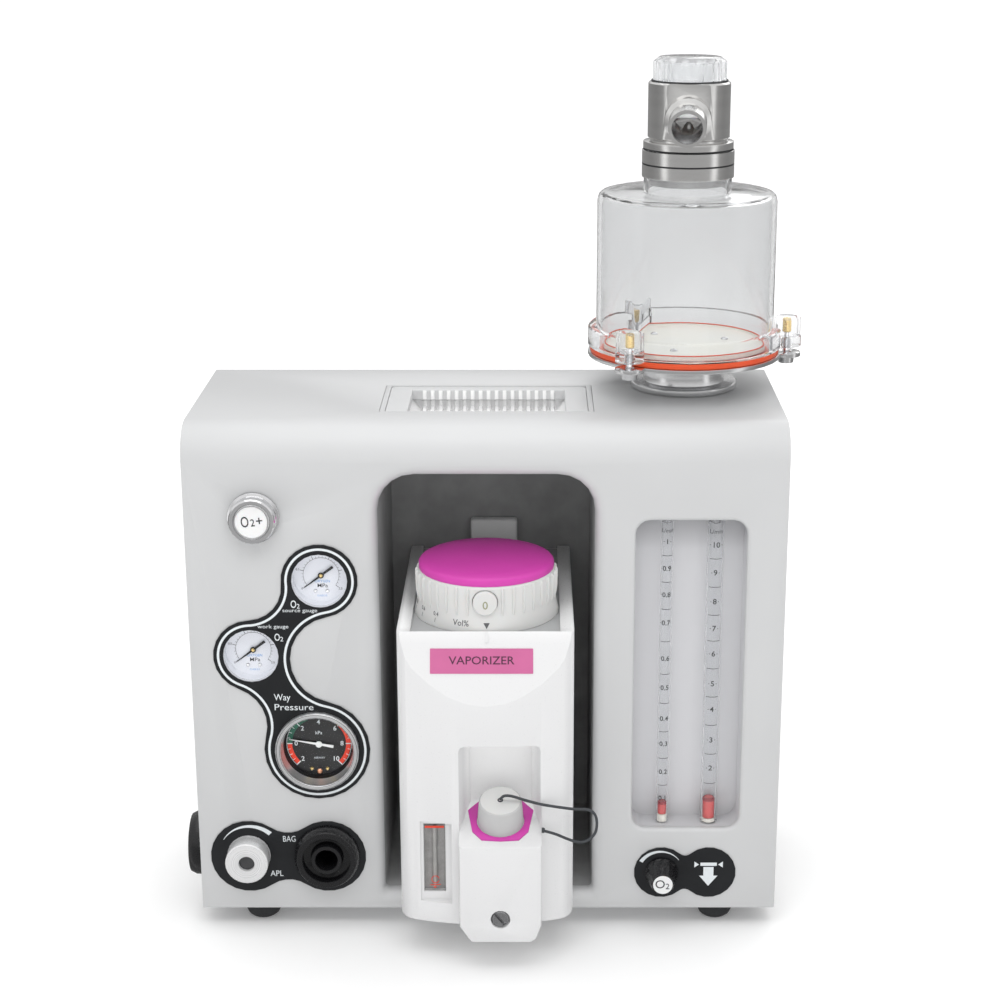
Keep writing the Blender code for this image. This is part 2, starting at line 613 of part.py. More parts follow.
def flow_meter():
    """Window box, two sight tubes with floats, manifold, needle valve and knob."""
    wall = 0.0015
    front = WINDOW_FOLD + 0.002 + GAP
    depth = WINDOW_DEPTH + wall - front
    radii = (WINDOW_RADIUS,) * 4
    recess = plate("flow_window_box", [rounded_rect(WINDOW_X, WINDOW_Z, radii, 4, wall)], depth,
                   (0, front + depth / 2, 0), TO_FRONT, "silver_paint")
    cut(recess, plate("window_hollow", [rounded_rect(WINDOW_X, WINDOW_Z, radii, 4)], WINDOW_DEPTH,
                      (0, WINDOW_DEPTH / 2, 0), TO_FRONT))
    bottom = WINDOW_Z[0] + GAP
    length = WINDOW_Z[1] - WINDOW_Z[0] - 2 * GAP
    meters = (("low_flow", LOW_TUBE_X, 0.0044, 0.0037, 0.0032, 0.0100, 0.0058),
              ("high_flow", HIGH_TUBE_X, 0.0062, 0.0049, 0.0044, 0.0158, 0.0030))
    for name, x, outer, inner, float_radius, float_height, floor in meters:
        profile = [(0, floor), (inner, floor), (inner, length - 0.004), (inner * 0.5, length - 0.004),
                   (inner * 0.5, length), (outer, length), (outer, 0), (0, 0)]
        turned(name + "_tube", profile, (x, TUBE_Y, bottom), steps=16, surface="clear_acrylic")
        low = floor + GAP
        high = low + float_height
        edge = float_radius - 0.0006
        profile = [(0, high), (edge, high), (float_radius, high - 0.0006), (float_radius, low + 0.0006),
                   (edge, low), (0, low)]
        turned(name + "_float", profile, (x, TUBE_Y, bottom), steps=16, surface="red_float")
    box("flow_manifold", (WINDOW_X[0] + 0.004, WINDOW_X[1] - 0.004), (SHEET + 0.0015, 0.030),
        (0.008, WINDOW_Z[0] - WINDOW_FOLD - 0.0030), "turned_aluminium")
    x, z = FLOW_VALVE
    stem = 0.005
    turned("flow_valve_body", [(0, 0.0120), (stem, 0.0120), (stem, -SHEET - 0.0010), (0, -SHEET - 0.0010)],
           (x, 0, z), TO_FRONT, 20, "brass")
    base = OVERLAY + 2 * GAP
    bore = [(0.0054 * px / 0.011, 0.0054 * py / 0.011, 0) for px, py, _ in wavy_ring(0.011, 0, 1, 0, 36)]
    rings = [[(px, py, 0.0125) for px, py, _ in bore], [(px, py, base) for px, py, _ in bore],
             wavy_ring(0.0120, 0, 12, base, 36), wavy_ring(0.0120, 0, 12, base + 0.0015, 36),
             wavy_ring(0.0110, 0.0007, 12, base + 0.0030, 36), wavy_ring(0.0082, 0.0004, 12, 0.0190, 36),
             wavy_ring(0.0075, 0, 12, 0.0203, 36)]
    loft("flow_knob", rings, (x, 0, z), TO_FRONT, "black_plastic")


def vaporizer_plan(height):
    """Plan outline of the vaporizer: bowed front, rounded corners and a flat back."""
    centre_y = VAPORIZER_FRONT + FRONT_RADIUS
    corner_x = VAPORIZER_HALF - CORNER_RADIUS
    corner_y = centre_y - math.sqrt((FRONT_RADIUS - CORNER_RADIUS) ** 2 - corner_x ** 2)
    meet = angle_to((0, centre_y), (corner_x, corner_y))
    right = arc((0, centre_y), FRONT_RADIUS, -90, meet, 4)[:-1]
    right += arc((corner_x, corner_y), CORNER_RADIUS, meet, 0, 4)
    right.append((VAPORIZER_HALF, VAPORIZER_BACK))
    left = [(-x, y) for x, y in right[:0:-1]]
    return [(x, y, height) for x, y in left + right]


def vaporizer_body():
    """White vaporizer casing with its forehead, deck, filler pocket and filler block."""
    body = loft("vaporizer_body", [vaporizer_plan(VAPORIZER_BOTTOM), vaporizer_plan(VAPORIZER_TOP)],
                surface="white_enamel")
    soften(body, 0.0015, 2, 50)
    low, high = FILLER_X - FILLER_HALF, FILLER_X + FILLER_HALF
    outline = [(low + 0.008, 0.0115), (high - 0.008, 0.0115), (high - 0.0035, 0.0145), (high, 0.024),
               (high, 0.112), (low, 0.112), (low, 0.024)]
    depth = 0.046
    block = plate("filler_block", [outline], depth, (0, FILLER_FRONT + depth / 2, 0), TO_FRONT)
    soften(block, 0.0028, 2, 50)
    join(body, block)
    tilt = math.radians(17.5)
    facet_y = VAPORIZER_FRONT - 0.05 * math.cos(tilt)
    facet_z = 0.184 - 0.05 * math.sin(-tilt)
    wedge = box("forehead_cut", (-0.08, 0.08), (facet_y - 0.05, facet_y + 0.05),
                (facet_z - 0.12, facet_z + 0.12), rotation=(-tilt, 0, 0))
    cut(body, wedge)
    cut(body, box("deck_cut", (-CHEEK_INNER, CHEEK_INNER), (DIAL_Y - DIAL_BASE - 0.0005, VAPORIZER_BACK + 0.01),
                  (DECK_Z, VAPORIZER_TOP + 0.01)))
    rings = []
    for y, half, top in ((-0.080, 0.0341, 0.1587), (SHELF_BACK_Y, 0.0215, 0.148)):
        floor = SHELF_BACK_Z - (SHELF_BACK_Y - y) * math.tan(SHELF_ANGLE)
        outline = rounded_rect((FILLER_X - half, FILLER_X + half), (floor, top),
                               (0.0005, 0.0005, 0.004, 0.004), 2)
        rings.append(upright(outline, y))
    cut(body, loft("filler_pocket", rings))
    cut(body, box("sight_recess", (-0.0462, -0.0240), (-0.07, -0.0515), (0.034, 0.0955)),
        box("sight_slot", (-0.0440, -0.0286), (-0.06, -0.0470), (0.0402, 0.0927)))
    drill(body, "drain_recess", 0.0068, (FILLER_X, FILLER_FRONT, DRAIN_Z), TO_FRONT, 0.012)
    cut(body, box("body_cavity", (-0.054, 0.054), (-0.026, VAPORIZER_BACK - 0.003), (0, 0.226)))
    drill(body, "spindle_hole", 0.0063, (0, DIAL_Y, DECK_Z), (0, 0, 0), 0.02, 20)


def vaporizer_parts():
    """Everything fitted to the vaporizer casing."""
    x = FILLER_X
    turned("vaporizing_chamber", [(0, 0.205), (0.030, 0.205), (0.048, 0.196), (0.048, 0.030), (0, 0.030)],
           (0, 0.045, 0), steps=28, surface="turned_aluminium")
    base = GAP
    side = DIAL_TOP + 0.0010
    profile = [(0, DIAL_HEIGHT), (side - 0.0008, DIAL_HEIGHT), (side, DIAL_HEIGHT - 0.0008), (side, 0.0140),
               (side + 0.0006, 0.0085), (DIAL_BASE, 0.0012), (DIAL_BASE, base), (0.006, base),
               (0.006, -0.011), (0, -0.011)]
    dial = turned("control_dial", profile, (0, DIAL_Y, DECK_Z), steps=40, surface="dial_plastic")
    button_z = DECK_Z + 0.0220
    button_y = DIAL_Y - side - 0.0002
    drill(dial, "lock_button_bore", 0.0088, (0, button_y, button_z), TO_FRONT, 0.018)
    top = DIAL_HEIGHT + GAP
    profile = [(0, top + 0.0076), (0.020, top + 0.0073), (0.036, top + 0.0066), (0.0450, top + 0.0058),
               (DIAL_TOP - 0.0008, top + 0.0050), (DIAL_TOP, top + 0.0038), (DIAL_TOP, top), (0, top)]
    turned("dial_cap", profile, (0, DIAL_Y, DECK_Z), steps=36, surface="magenta_plastic")
    profile = [(0, 0.0024), (0.0078, 0.0024), (0.0085, 0.0016), (0.0085, -0.0052), (0, -0.0052)]
    turned("dial_lock_button", profile, (0, button_y, button_z), TO_FRONT, 24, "dial_plastic")
    cap_z = SHELF_FRONT_Z + (CAP_Y - FILLER_FRONT) * math.tan(SHELF_ANGLE)
    lean = (SHELF_ANGLE, 0, 0)
    outline = [(0.0130, -0.0185), (0.0195, -0.0105), (0.0230, 0.0100), (0.0150, 0.0195)]
    outline += [(-px, py) for px, py in outline[::-1]] + [(0, -0.0195)]
    bezel = plate("filler_bezel", [outline], 0.0016, (x, CAP_Y - math.sin(SHELF_ANGLE) * 0.0011,
                  cap_z + math.cos(SHELF_ANGLE) * 0.0011), lean, "magenta_plastic")
    drill(bezel, "bezel_hole", CAP_RADIUS + 0.0005, (x, CAP_Y, cap_z), lean, 0.02, 28)
    profile = [(0, CAP_HEIGHT), (0.0143, CAP_HEIGHT), (0.0149, CAP_HEIGHT - 0.0006), (CAP_RADIUS, 0.0060),
               (CAP_RADIUS, GAP), (0, GAP)]
    turned("filler_cap", profile, (x, CAP_Y, cap_z), lean, 28, "dial_plastic")
    box("sight_glass", (-0.0437, -0.0289), (-0.0505, -0.0473), (0.0405, 0.0924), "clear_acrylic")
    profile = [(0, -0.0008), (0.0052, -0.0008), (0.0060, -0.0016), (0.0060, -0.0056), (0, -0.0056)]
    screw = turned("drain_screw", profile, (x, FILLER_FRONT, DRAIN_Z), TO_FRONT, 24, "chrome")
    slot = box("screw_slot", (x - 0.0012, x + 0.0012), (FILLER_FRONT - 0.003, FILLER_FRONT + 0.0032),
               (DRAIN_Z - 0.008, DRAIN_Z + 0.008), rotation=(0, math.radians(-40), 0))
    cut(screw, slot)
    mount = box("vaporizer_mount", (-0.0151, 0.0207), (0.1395, BAY_DEPTH - GAP), (DECK_Z + GAP, 0.2552),
                "white_plastic")
    soften(mount, 0.0020)


def smooth_route(points, count):
    """Even points along a Catmull-Rom curve through the given points."""
    padded = [points[0]] + points + [points[-1]]
    dense = []
    for before, start, end, after in zip(padded, padded[1:], padded[2:], padded[3:]):
        for k in range(12):
            t = k / 12
            dense.append(tuple(0.5 * (2 * b + (c - a) * t + (2 * a - 5 * b + 4 * c - d) * t ** 2
                                      + (3 * b - a - 3 * c + d) * t ** 3)
                               for a, b, c, d in zip(before, start, end, after)))
    dense.append(points[-1])
    lengths = [0.0]
    for start, end in zip(dense, dense[1:]):
        lengths.append(lengths[-1] + math.dist(start, end))
    spaced = []
    segment = 0
    for k in range(count):
        target = lengths[-1] * k / (count - 1)
        while segment < len(dense) - 2 and lengths[segment + 1] < target:
            segment += 1
        share = (target - lengths[segment]) / (lengths[segment + 1] - lengths[segment])
        spaced.append(tuple(a + (b - a) * share for a, b in zip(dense[segment], dense[segment + 1])))
    return spaced


LANYARD_RADIUS = 0.0010
LANYARD_ROUTE = [
    (0.0100, -0.0580, 0.1144), (0.0128, -0.0600, 0.1178), (0.0180, -0.0600, 0.1176),
    (0.0260, -0.0590, 0.1145), (0.0353, -0.0585, 0.1115), (0.0434, -0.0580, 0.1095),
    (0.0600, -0.0575, 0.1068), (0.0705, -0.0575, 0.1062), (0.0755, -0.0575, 0.1028),
    (0.0771, -0.0575, 0.0962), (0.0759, -0.0575, 0.0884), (0.0708, -0.0578, 0.0830),
    (0.0647, -0.0580, 0.0817), (0.0576, -0.0585, 0.0840), (0.0484, -0.0600, 0.0888),
    (0.0390, -0.0610, 0.0922)]


def cap_lanyard():
    """Cord that keeps the filler cap: from the cap's middle, round a loop, to the filler block."""
    data = bpy.data.curves.new("cap_lanyard", "CURVE")
    data.dimensions = "3D"
    data.bevel_depth = LANYARD_RADIUS
    data.bevel_resolution = 2
    data.use_fill_caps = True
    spline = data.splines.new("POLY")
    points = smooth_route(LANYARD_ROUTE, 34)
    spline.points.add(len(points) - 1)
    for point, where in zip(spline.points, points):
        point.co = (*where, 1)
    place("cap_lanyard", data, (0, 0, 0), (0, 0, 0), "black_rubber")


def absorber_places():
    """The three clamp places round the absorber's axis."""
    for angle in CLAMP_ANGLES:
        turn = math.radians(angle)
        yield ABSORBER_X + CLAMP_CIRCLE * math.cos(turn), ABSORBER_Y + CLAMP_CIRCLE * math.sin(turn)


def absorber_stand():
    """Flange and neck on the case top, the metal base with its ears, and the gasket."""
    where = (ABSORBER_X, ABSORBER_Y, 0)
    top = CASE_HEIGHT + GAP
    profile = [(0.014, BASE_Z - GAP), (0.030, BASE_Z - GAP), (0.0290, top + 0.0110), (0.0300, top + 0.0048),
               (0.0385, top + 0.0048), (0.0395, top + 0.0038), (0.0395, top), (0.014, top)]
    turned("absorber_mount", profile, where, steps=28, surface="turned_aluminium", closed=True)
    plateau = CANISTER_Z + 0.0010
    profile = [(0.0130, plateau), (0.0560, plateau), (0.0560, GASKET_Z - GAP), (FLANGE_RADIUS, GASKET_Z - GAP),
               (FLANGE_RADIUS, BASE_Z), (0.0130, BASE_Z)]
    base = turned("absorber_base", profile, where, steps=36, surface="turned_aluminium", closed=True)
    for number, (x, y) in enumerate(absorber_places(), 1):
        ear = [(0, GASKET_Z - GAP), (EAR_RADIUS, GASKET_Z - GAP), (EAR_RADIUS, BASE_Z), (0.006, BASE_Z - 0.0001),
               (0.0055, BASE_Z - 0.0050), (0, BASE_Z - 0.0060)]
        join(base, turned(f"base_ear_{number}", ear, (x, y, 0), steps=16))
        drill(base, f"base_ear_hole_{number}", 0.0033, (x, y, BASE_Z + 0.0050), (0, 0, 0), 0.014, 12)
    profile = [(0.0570, CANISTER_Z - GAP), (0.0695, CANISTER_Z - GAP), (0.0695, GASKET_Z), (0.0570, GASKET_Z)]
    gasket = turned("canister_gasket", profile, where, steps=36, surface="orange_silicone", closed=True)
    for number, (x, y) in enumerate(absorber_places(), 1):
        drill(gasket, f"gasket_notch_{number}", 0.0062, (x, y, GASKET_Z), (0, 0, 0), 0.02, 14)


def canister():
    """Clear absorber canister with its flange, ears, rounded shoulder and neck collar."""
    where = (ABSORBER_X, ABSORBER_Y, 0)
    wall = 0.0035
    inner = CANISTER_RADIUS - wall
    round_over = 0.006
    shoulder = arc((CANISTER_RADIUS - round_over, SHOULDER_Z - round_over), round_over, 90, 0, 3)
    inside = arc((inner - round_over + wall, SHOULDER_Z - wall - round_over + wall), round_over - wall, 0, 90, 2)
    profile = [(0.0288, COLLAR_Z), (0.03175, COLLAR_Z), (0.03175, SHOULDER_Z)] + shoulder
    profile += [(CANISTER_RADIUS, FLANGE_TOP), (FLANGE_RADIUS - 0.001, FLANGE_TOP),
                (FLANGE_RADIUS, FLANGE_TOP - 0.001), (FLANGE_RADIUS, CANISTER_Z), (inner, CANISTER_Z)]
    profile += inside + [(0.0288, SHOULDER_Z - wall)]
    body = turned("canister", profile, where, steps=40, surface="clear_acrylic", closed=True)
    for number, (x, y) in enumerate(absorber_places(), 1):
        clear = CLAMP_RADIUS + 0.0006
        middle = (EAR_TOP + FLANGE_TOP + 0.004) / 2
        half = (FLANGE_TOP + 0.004 - EAR_TOP) / 2
        seat = turned(f"clamp_seat_{number}", [(0, half), (clear, half), (clear, -half), (0, -half)],
                      (x, y, middle), steps=16)
        ear = turned(f"canister_ear_{number}", [(0, EAR_TOP), (EAR_RADIUS, EAR_TOP), (EAR_RADIUS, CANISTER_Z),
                                                (0, CANISTER_Z)],
                     (x, y, 0), steps=16)
        ear.rotation_euler = (0, 0, math.radians(CLAMP_ANGLES[number - 1]))
        join(body, ear)
        cut(body, seat)
        drill(body, f"canister_ear_hole_{number}", 0.0033, (x, y, EAR_TOP), (0, 0, 0), 0.03, 12)


def clamp_knobs():
    """Three lobed knobs with their studs, which hold the canister down on the gasket."""
    low, high = EAR_TOP + GAP, 0.4185
    for number, (x, y) in enumerate(absorber_places(), 1):
        rings = [wavy_ring(0.0070, 0, 6, high - low, 36), wavy_ring(0.0092, 0.0008, 6, high - low - 0.0012, 36),
                 wavy_ring(0.0092, 0.0008, 6, 0, 36), wavy_ring(0.0029, 0, 6, 0, 36),
                 wavy_ring(0.0029, 0, 6, BASE_Z - 0.0006 - low, 36)]
        loft(f"clamp_knob_{number}", rings, (x, y, low), (0, 0, 0), "clear_acrylic")


def valve_head():
    """Turned valve head plugged in the canister's neck, with its side port, disc and clear cap."""
    where = (ABSORBER_X, ABSORBER_Y, 0)
    bore, seat = 0.0110, 0.5600
    profile = [(0.0235, VALVE_TOP), (0.0285, VALVE_TOP), (0.0295, VALVE_TOP - 0.0012), (0.0295, 0.5480),
               (0.0275, 0.5470), (0.0275, 0.5455), (0.0325, 0.5450), (0.0325, COLLAR_Z + GAP),
               (0.0280, COLLAR_Z + GAP), (0.0280, 0.5140), (bore, 0.5140), (bore, seat + 0.0015),
               (bore + 0.002, seat + 0.0015), (bore + 0.003, seat), (0.0235, seat)]
    housing = turned("valve_housing", profile, where, steps=32, surface="turned_aluminium", closed=True)
    tilt, yaw = math.radians(9), math.radians(-5.5)
    aim = (math.pi / 2 + tilt, 0, yaw)
    port_z = 0.5670
    flat = box("valve_flat", (-0.02, 0.02), (-0.040, -VALVE_FLAT), (0.5484, VALVE_TOP + 0.001))
    flat.location = Vector((ABSORBER_X, ABSORBER_Y, 0)) + Matrix.Rotation(yaw, 3, "Z") @ flat.location
    flat.rotation_euler = (0, 0, yaw)
    cut(housing, flat)
    profile = [(0, 0.0520), (0.0134, 0.0520), (0.0134, 0.0340), (0.0165, 0.0325), (0.0165, 0.0215), (0, 0.0215)]
    join(housing, turned("side_tube", profile, (ABSORBER_X, ABSORBER_Y, port_z), aim, 24))
    bit = turned("port_bore", [(0, 0.060), (0.0110, 0.060), (0.0110, 0.012), (0, 0.012)],
                 (ABSORBER_X, ABSORBER_Y, port_z), aim, 20)
    cut(housing, bit)
    turned("valve_disc", [(0, 0.0026), (0.0150, 0.0026), (0.0150, 0.0018), (0, 0.0018)],
           (ABSORBER_X, ABSORBER_Y, seat), steps=24, surface="white_plastic")
    low = VALVE_TOP + GAP
    rings = [wavy_ring(0.0200, 0, 16, CAP_TOP - low - 0.004, 64), wavy_ring(0.0200, 0, 16, 0, 64),
             wavy_ring(0.0252, 0.0012, 16, 0, 64), wavy_ring(0.0252, 0.0012, 16, CAP_TOP - low - 0.003, 64),
             wavy_ring(0.0222, 0, 16, CAP_TOP - low, 64)]
    loft("valve_cap", rings, (ABSORBER_X, ABSORBER_Y, low), (0, 0, 0), "clear_acrylic")


def build():
    """Make every sub-part."""
    front_top_cover()
    case_panels()
    vaporizer_bay()
    feet()
    handle()
    overlays()
    small_gauge("source", SOURCE_GAUGE)
    small_gauge("work", WORK_GAUGE)
    airway_gauge()
    flush_button()
    apl_valve()
    round_port("bag_port", (BAG[0], 0, BAG[1]), TO_FRONT, OVERLAY + GAP)
    round_port("side_port", (-HALF_WIDTH, SIDE_PORT_Y, SIDE_PORT_Z), TO_LEFT, GAP)
    oxygen_inlet()
    flow_meter()
    vaporizer_body()
    vaporizer_parts()
    cap_lanyard()
    absorber_stand()
    canister()
    clamp_knobs()
    valve_head()


build()
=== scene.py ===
"""Looks of the desktop anesthesia machine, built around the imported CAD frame.

Lengths are metres. at(x, y, z) takes the case's own frame: x from the middle of the case,
y back from the front panel and z up from the underside of the case.
"""
from math import atan, atan2, copysign, cos, degrees, hypot, pi, radians, sin, sqrt, tan

import bmesh
import bpy
from mathutils import Euler, Matrix, Vector


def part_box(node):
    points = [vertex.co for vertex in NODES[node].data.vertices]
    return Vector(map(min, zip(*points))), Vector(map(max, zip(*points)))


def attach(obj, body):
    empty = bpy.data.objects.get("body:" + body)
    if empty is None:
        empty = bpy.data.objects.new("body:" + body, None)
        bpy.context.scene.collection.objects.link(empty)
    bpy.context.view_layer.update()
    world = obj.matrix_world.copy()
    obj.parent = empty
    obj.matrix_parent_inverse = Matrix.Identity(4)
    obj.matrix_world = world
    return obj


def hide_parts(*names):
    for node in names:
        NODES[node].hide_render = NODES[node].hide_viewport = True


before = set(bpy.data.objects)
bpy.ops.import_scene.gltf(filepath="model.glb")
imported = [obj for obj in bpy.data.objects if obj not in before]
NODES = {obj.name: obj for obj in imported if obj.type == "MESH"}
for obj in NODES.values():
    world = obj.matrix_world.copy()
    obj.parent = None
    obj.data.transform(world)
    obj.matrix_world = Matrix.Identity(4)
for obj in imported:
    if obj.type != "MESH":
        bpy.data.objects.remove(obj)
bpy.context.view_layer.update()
case_low, case_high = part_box("front_top_cover")
ORIGIN = Vector(((case_low.x + case_high.x) / 2, case_low.y, case_low.z))


def at(x, y, z):
    """Point of the case's own frame in the row frame."""
    return ORIGIN + Vector((x, y, z))


# Places on the front panel: centre x, centre z
SOURCE_GAUGE = (-0.117, 0.254)
WORK_GAUGE = (-0.167, 0.198)
AIRWAY_GAUGE = (-0.122, 0.126)
FLUSH = (-0.161, 0.301)
APL = (-0.1742, 0.0435)
FLOW_VALVE = (0.1265, 0.029)
FLOW_SIGN = (0.161, 0.029)
FILM_FRONT = -0.00079
SMALL_FACE = 0.0135
AIRWAY_FACE = 0.0115

# Vaporizer, flow tubes and absorber
DECK_Z = 0.2305
VAPORIZER_FRONT = -0.06
FOREHEAD_FOOT = 0.184
LABEL_Z = 0.2138
DIAL_Y = 0.0075
DIAL_SIDE = 0.0485
FILLER_X = 0.01
SIGHT_X = -0.0363
LOW_TUBE_X = 0.127
HIGH_TUBE_X = 0.161
TUBE_Y = 0.0135
ABSORBER = (0.1443, 0.125)
CLAMP_CIRCLE = 0.075
CLAMP_ANGLES = (355, 235, 115)

FRONT = Matrix.Rotation(radians(90), 3, "X")
UP = Matrix.Identity(3)
BACK = Matrix.Rotation(radians(180), 3, "Z") @ FRONT


def put(name, data):
    """Put data in the scene as an object."""
    made = bpy.data.objects.new(name, data)
    bpy.context.scene.collection.objects.link(made)
    return made


def around(centre, radius, angle):
    """Point at a distance from a centre, in a direction in degrees."""
    turn = radians(angle)
    return centre[0] + radius * cos(turn), centre[1] + radius * sin(turn)


# Materials

def node(tree, kind, inputs=(), **settings):
    """Add a node with its settings, and its inputs as numbers or links."""
    made = tree.nodes.new(kind)
    for key, value in settings.items():
        setattr(made, key, value)
    for socket, value in inputs:
        if isinstance(value, bpy.types.NodeSocket):
            tree.links.new(value, made.inputs[socket])
        else:
            made.inputs[socket].default_value = value
    return made


def shade(tree, kind, inputs=(), **settings):
    """Add a shader node, its kind given without the prefix."""
    return node(tree, "ShaderNode" + kind, inputs, **settings)


def vector(tree, operation, *values):
    """Add a vector operation on numbers or links."""
    return shade(tree, "VectorMath", list(enumerate(values)), operation=operation)


def blend(tree, share, one, two):
    """Colour between two colours or links."""
    return shade(tree, "Mix", [(0, share), (6, one), (7, two)], data_type="RGBA").outputs[2]


def rescale(tree, value, low, high, to_low=0.0, to_high=1.0):
    """Value moved from one range into another."""
    return shade(tree, "MapRange", [("Value", value), ("From Min", low), ("From Max", high),
        ("To Min", to_low), ("To Max", to_high)]).outputs[0]


def shaded(colour, factor):
    """Colour made lighter or darker, as a node takes it."""
    return tuple(min(1.0, part * factor) for part in colour) + (1.0,)


def object_place(tree):
    """Place on the object, in metres."""
    return shade(tree, "TexCoord").outputs["Object"]


def surface(name, colour, roughness, patch, grain, spread, rough_spread, relief, sockets=None, second=None,
        where=object_place):
    """Principled material: a cloudy base colour, uneven gloss and a fine relief, all procedural."""
    made = bpy.data.materials.new(name)
    made.use_nodes = True
    tree = made.node_tree
    shader = tree.nodes["Principled BSDF"]
    coords = where(tree)
    cloud = shade(tree, "TexNoise", [("Vector", coords), ("Scale", patch), ("Detail", 5.0)])
    tint = shade(tree, "ValToRGB", [("Fac", cloud.outputs[0])])
    tint.color_ramp.elements[0].position = 0.32
    tint.color_ramp.elements[0].color = shaded(second or colour, 1 - spread)
    tint.color_ramp.elements[1].position = 0.68
    tint.color_ramp.elements[1].color = shaded(colour, 1 + spread)
    tree.links.new(tint.outputs[0], shader.inputs["Base Color"])
    fine = shade(tree, "TexNoise", [("Vector", coords), ("Scale", grain), ("Detail", 3.0)])
    gloss = rescale(tree, fine.outputs[0], 0.25, 0.75, max(0.0, roughness - rough_spread),
        roughness + rough_spread)
    tree.links.new(gloss, shader.inputs["Roughness"])
    bump = shade(tree, "Bump", [("Strength", 0.6), ("Distance", relief * 1e-6), ("Height", fine.outputs[0])])
    tree.links.new(bump.outputs[0], shader.inputs["Normal"])
    for socket, value in (sockets or {}).items():
        shader.inputs[socket.replace("_", " ")].default_value = value
    return made


def lathe(name, colour, roughness, centre, axis, spread=0.1, rough_spread=0.08, relief=12, metallic=1.0):
    """Turned metal, its marks in rings round the given axis."""
    def where(tree):
        local = vector(tree, "SUBTRACT", object_place(tree), tuple(centre)).outputs[0]
        along = vector(tree, "DOT_PRODUCT", local, axis).outputs["Value"]
        shift = shade(tree, "VectorMath", [(0, axis), ("Scale", along)], operation="SCALE").outputs[0]
        out = vector(tree, "LENGTH", vector(tree, "SUBTRACT", local, shift).outputs[0]).outputs["Value"]
        return shade(tree, "CombineXYZ", [(0, along), (1, out)]).outputs[0]
    LOOKS[name] = surface(name + "_look", colour, roughness, 160, 2400, spread, rough_spread, relief,
        {"Metallic": metallic}, where=where)


def graded(look, low, high, colour, along="Z"):
    """Painted light and shade: blend a look's base colour into a lighter or darker one between two heights,
    or two depths.
    """
    tree = LOOKS[look].node_tree
    shader = tree.nodes["Principled BSDF"]
    before = shader.inputs["Base Color"].links[0].from_socket
    place = shade(tree, "SeparateXYZ", [(0, object_place(tree))]).outputs[along]
    shift = getattr(at(0, 0, 0), along.lower())
    mixed = blend(tree, rescale(tree, place, low + shift, high + shift), before, (*colour, 1.0))
    tree.links.new(mixed, shader.inputs["Base Color"])


METAL = dict(Metallic=1.0)
SOFT = dict(Subsurface_Weight=0.05, Subsurface_Scale=0.002)
COAT = dict(Coat_Weight=0.5, Coat_Roughness=0.05)
# Looks of the record's slots: colour, roughness, scale of the clouds and of the grain, spread of the
# colour and of the gloss, relief in micrometres, then other sockets and a second colour
SLOTS = {
    "silver_paint": ((0.6, 0.605, 0.61), 0.42, 9, 2600, 0.015, 0.05, 30,
        dict(Metallic=0.12, Coat_Weight=0.12, Coat_Roughness=0.35)),
    "dark_paint": ((0.34, 0.342, 0.345), 0.55, 55, 1500, 0.1, 0.08, 60),
    "bare_sheet": ((0.52, 0.53, 0.54), 0.36, 90, 700, 0.1, 0.1, 30, dict(Metallic=0.95)),
    "overlay_film": ((0.012, 0.013, 0.015), 0.36, 40, 3200, 0.1, 0.06, 20,
        dict(Specular_IOR_Level=0.35)),
    "white_enamel": ((0.74, 0.74, 0.745), 0.3, 14, 900, 0.006, 0.04, 10,
        dict(Coat_Weight=0.25, Coat_Roughness=0.15)),
    "white_plastic": ((0.8, 0.8, 0.8), 0.33, 20, 1500, 0.012, 0.05, 20, SOFT),
    "dial_plastic": ((0.65, 0.65, 0.64), 0.38, 20, 1800, 0.012, 0.05, 20, SOFT),
    "magenta_plastic": ((0.6, 0.054, 0.385), 0.4, 30, 2400, 0.03, 0.06, 40,
        dict(Specular_IOR_Level=0.35)),
    "black_plastic": ((0.007, 0.007, 0.008), 0.26, 60, 1500, 0.15, 0.07, 20),
    "black_rubber": ((0.02, 0.021, 0.023), 0.68, 80, 1800, 0.2, 0.1, 60),
    "red_float": ((0.62, 0.085, 0.085), 0.26, 200, 2500, 0.08, 0.06, 20, dict(Coat_Weight=0.4)),
    "orange_silicone": ((0.76, 0.085, 0.02), 0.4, 60, 1300, 0.06, 0.08, 40,
        dict(Subsurface_Weight=0.15, Subsurface_Scale=0.003)),
    "turned_aluminium": ((0.78, 0.78, 0.79), 0.24, 70, 1300, 0.05, 0.08, 20, METAL),
    "chrome": ((0.78, 0.78, 0.79), 0.12, 60, 900, 0.03, 0.05, 8, METAL),
    "brass": ((0.8, 0.6, 0.26), 0.26, 90, 1200, 0.08, 0.08, 20, METAL),
    "gauge_white": ((0.7, 0.715, 0.76), 0.42, 60, 1500, 0.02, 0.06, 20),
    "clear_acrylic": ((0.77, 0.775, 0.78), 0.03, 30, 200, 0.006, 0.02, 4,
        dict(Transmission_Weight=1.0, IOR=1.16, **COAT)),
}
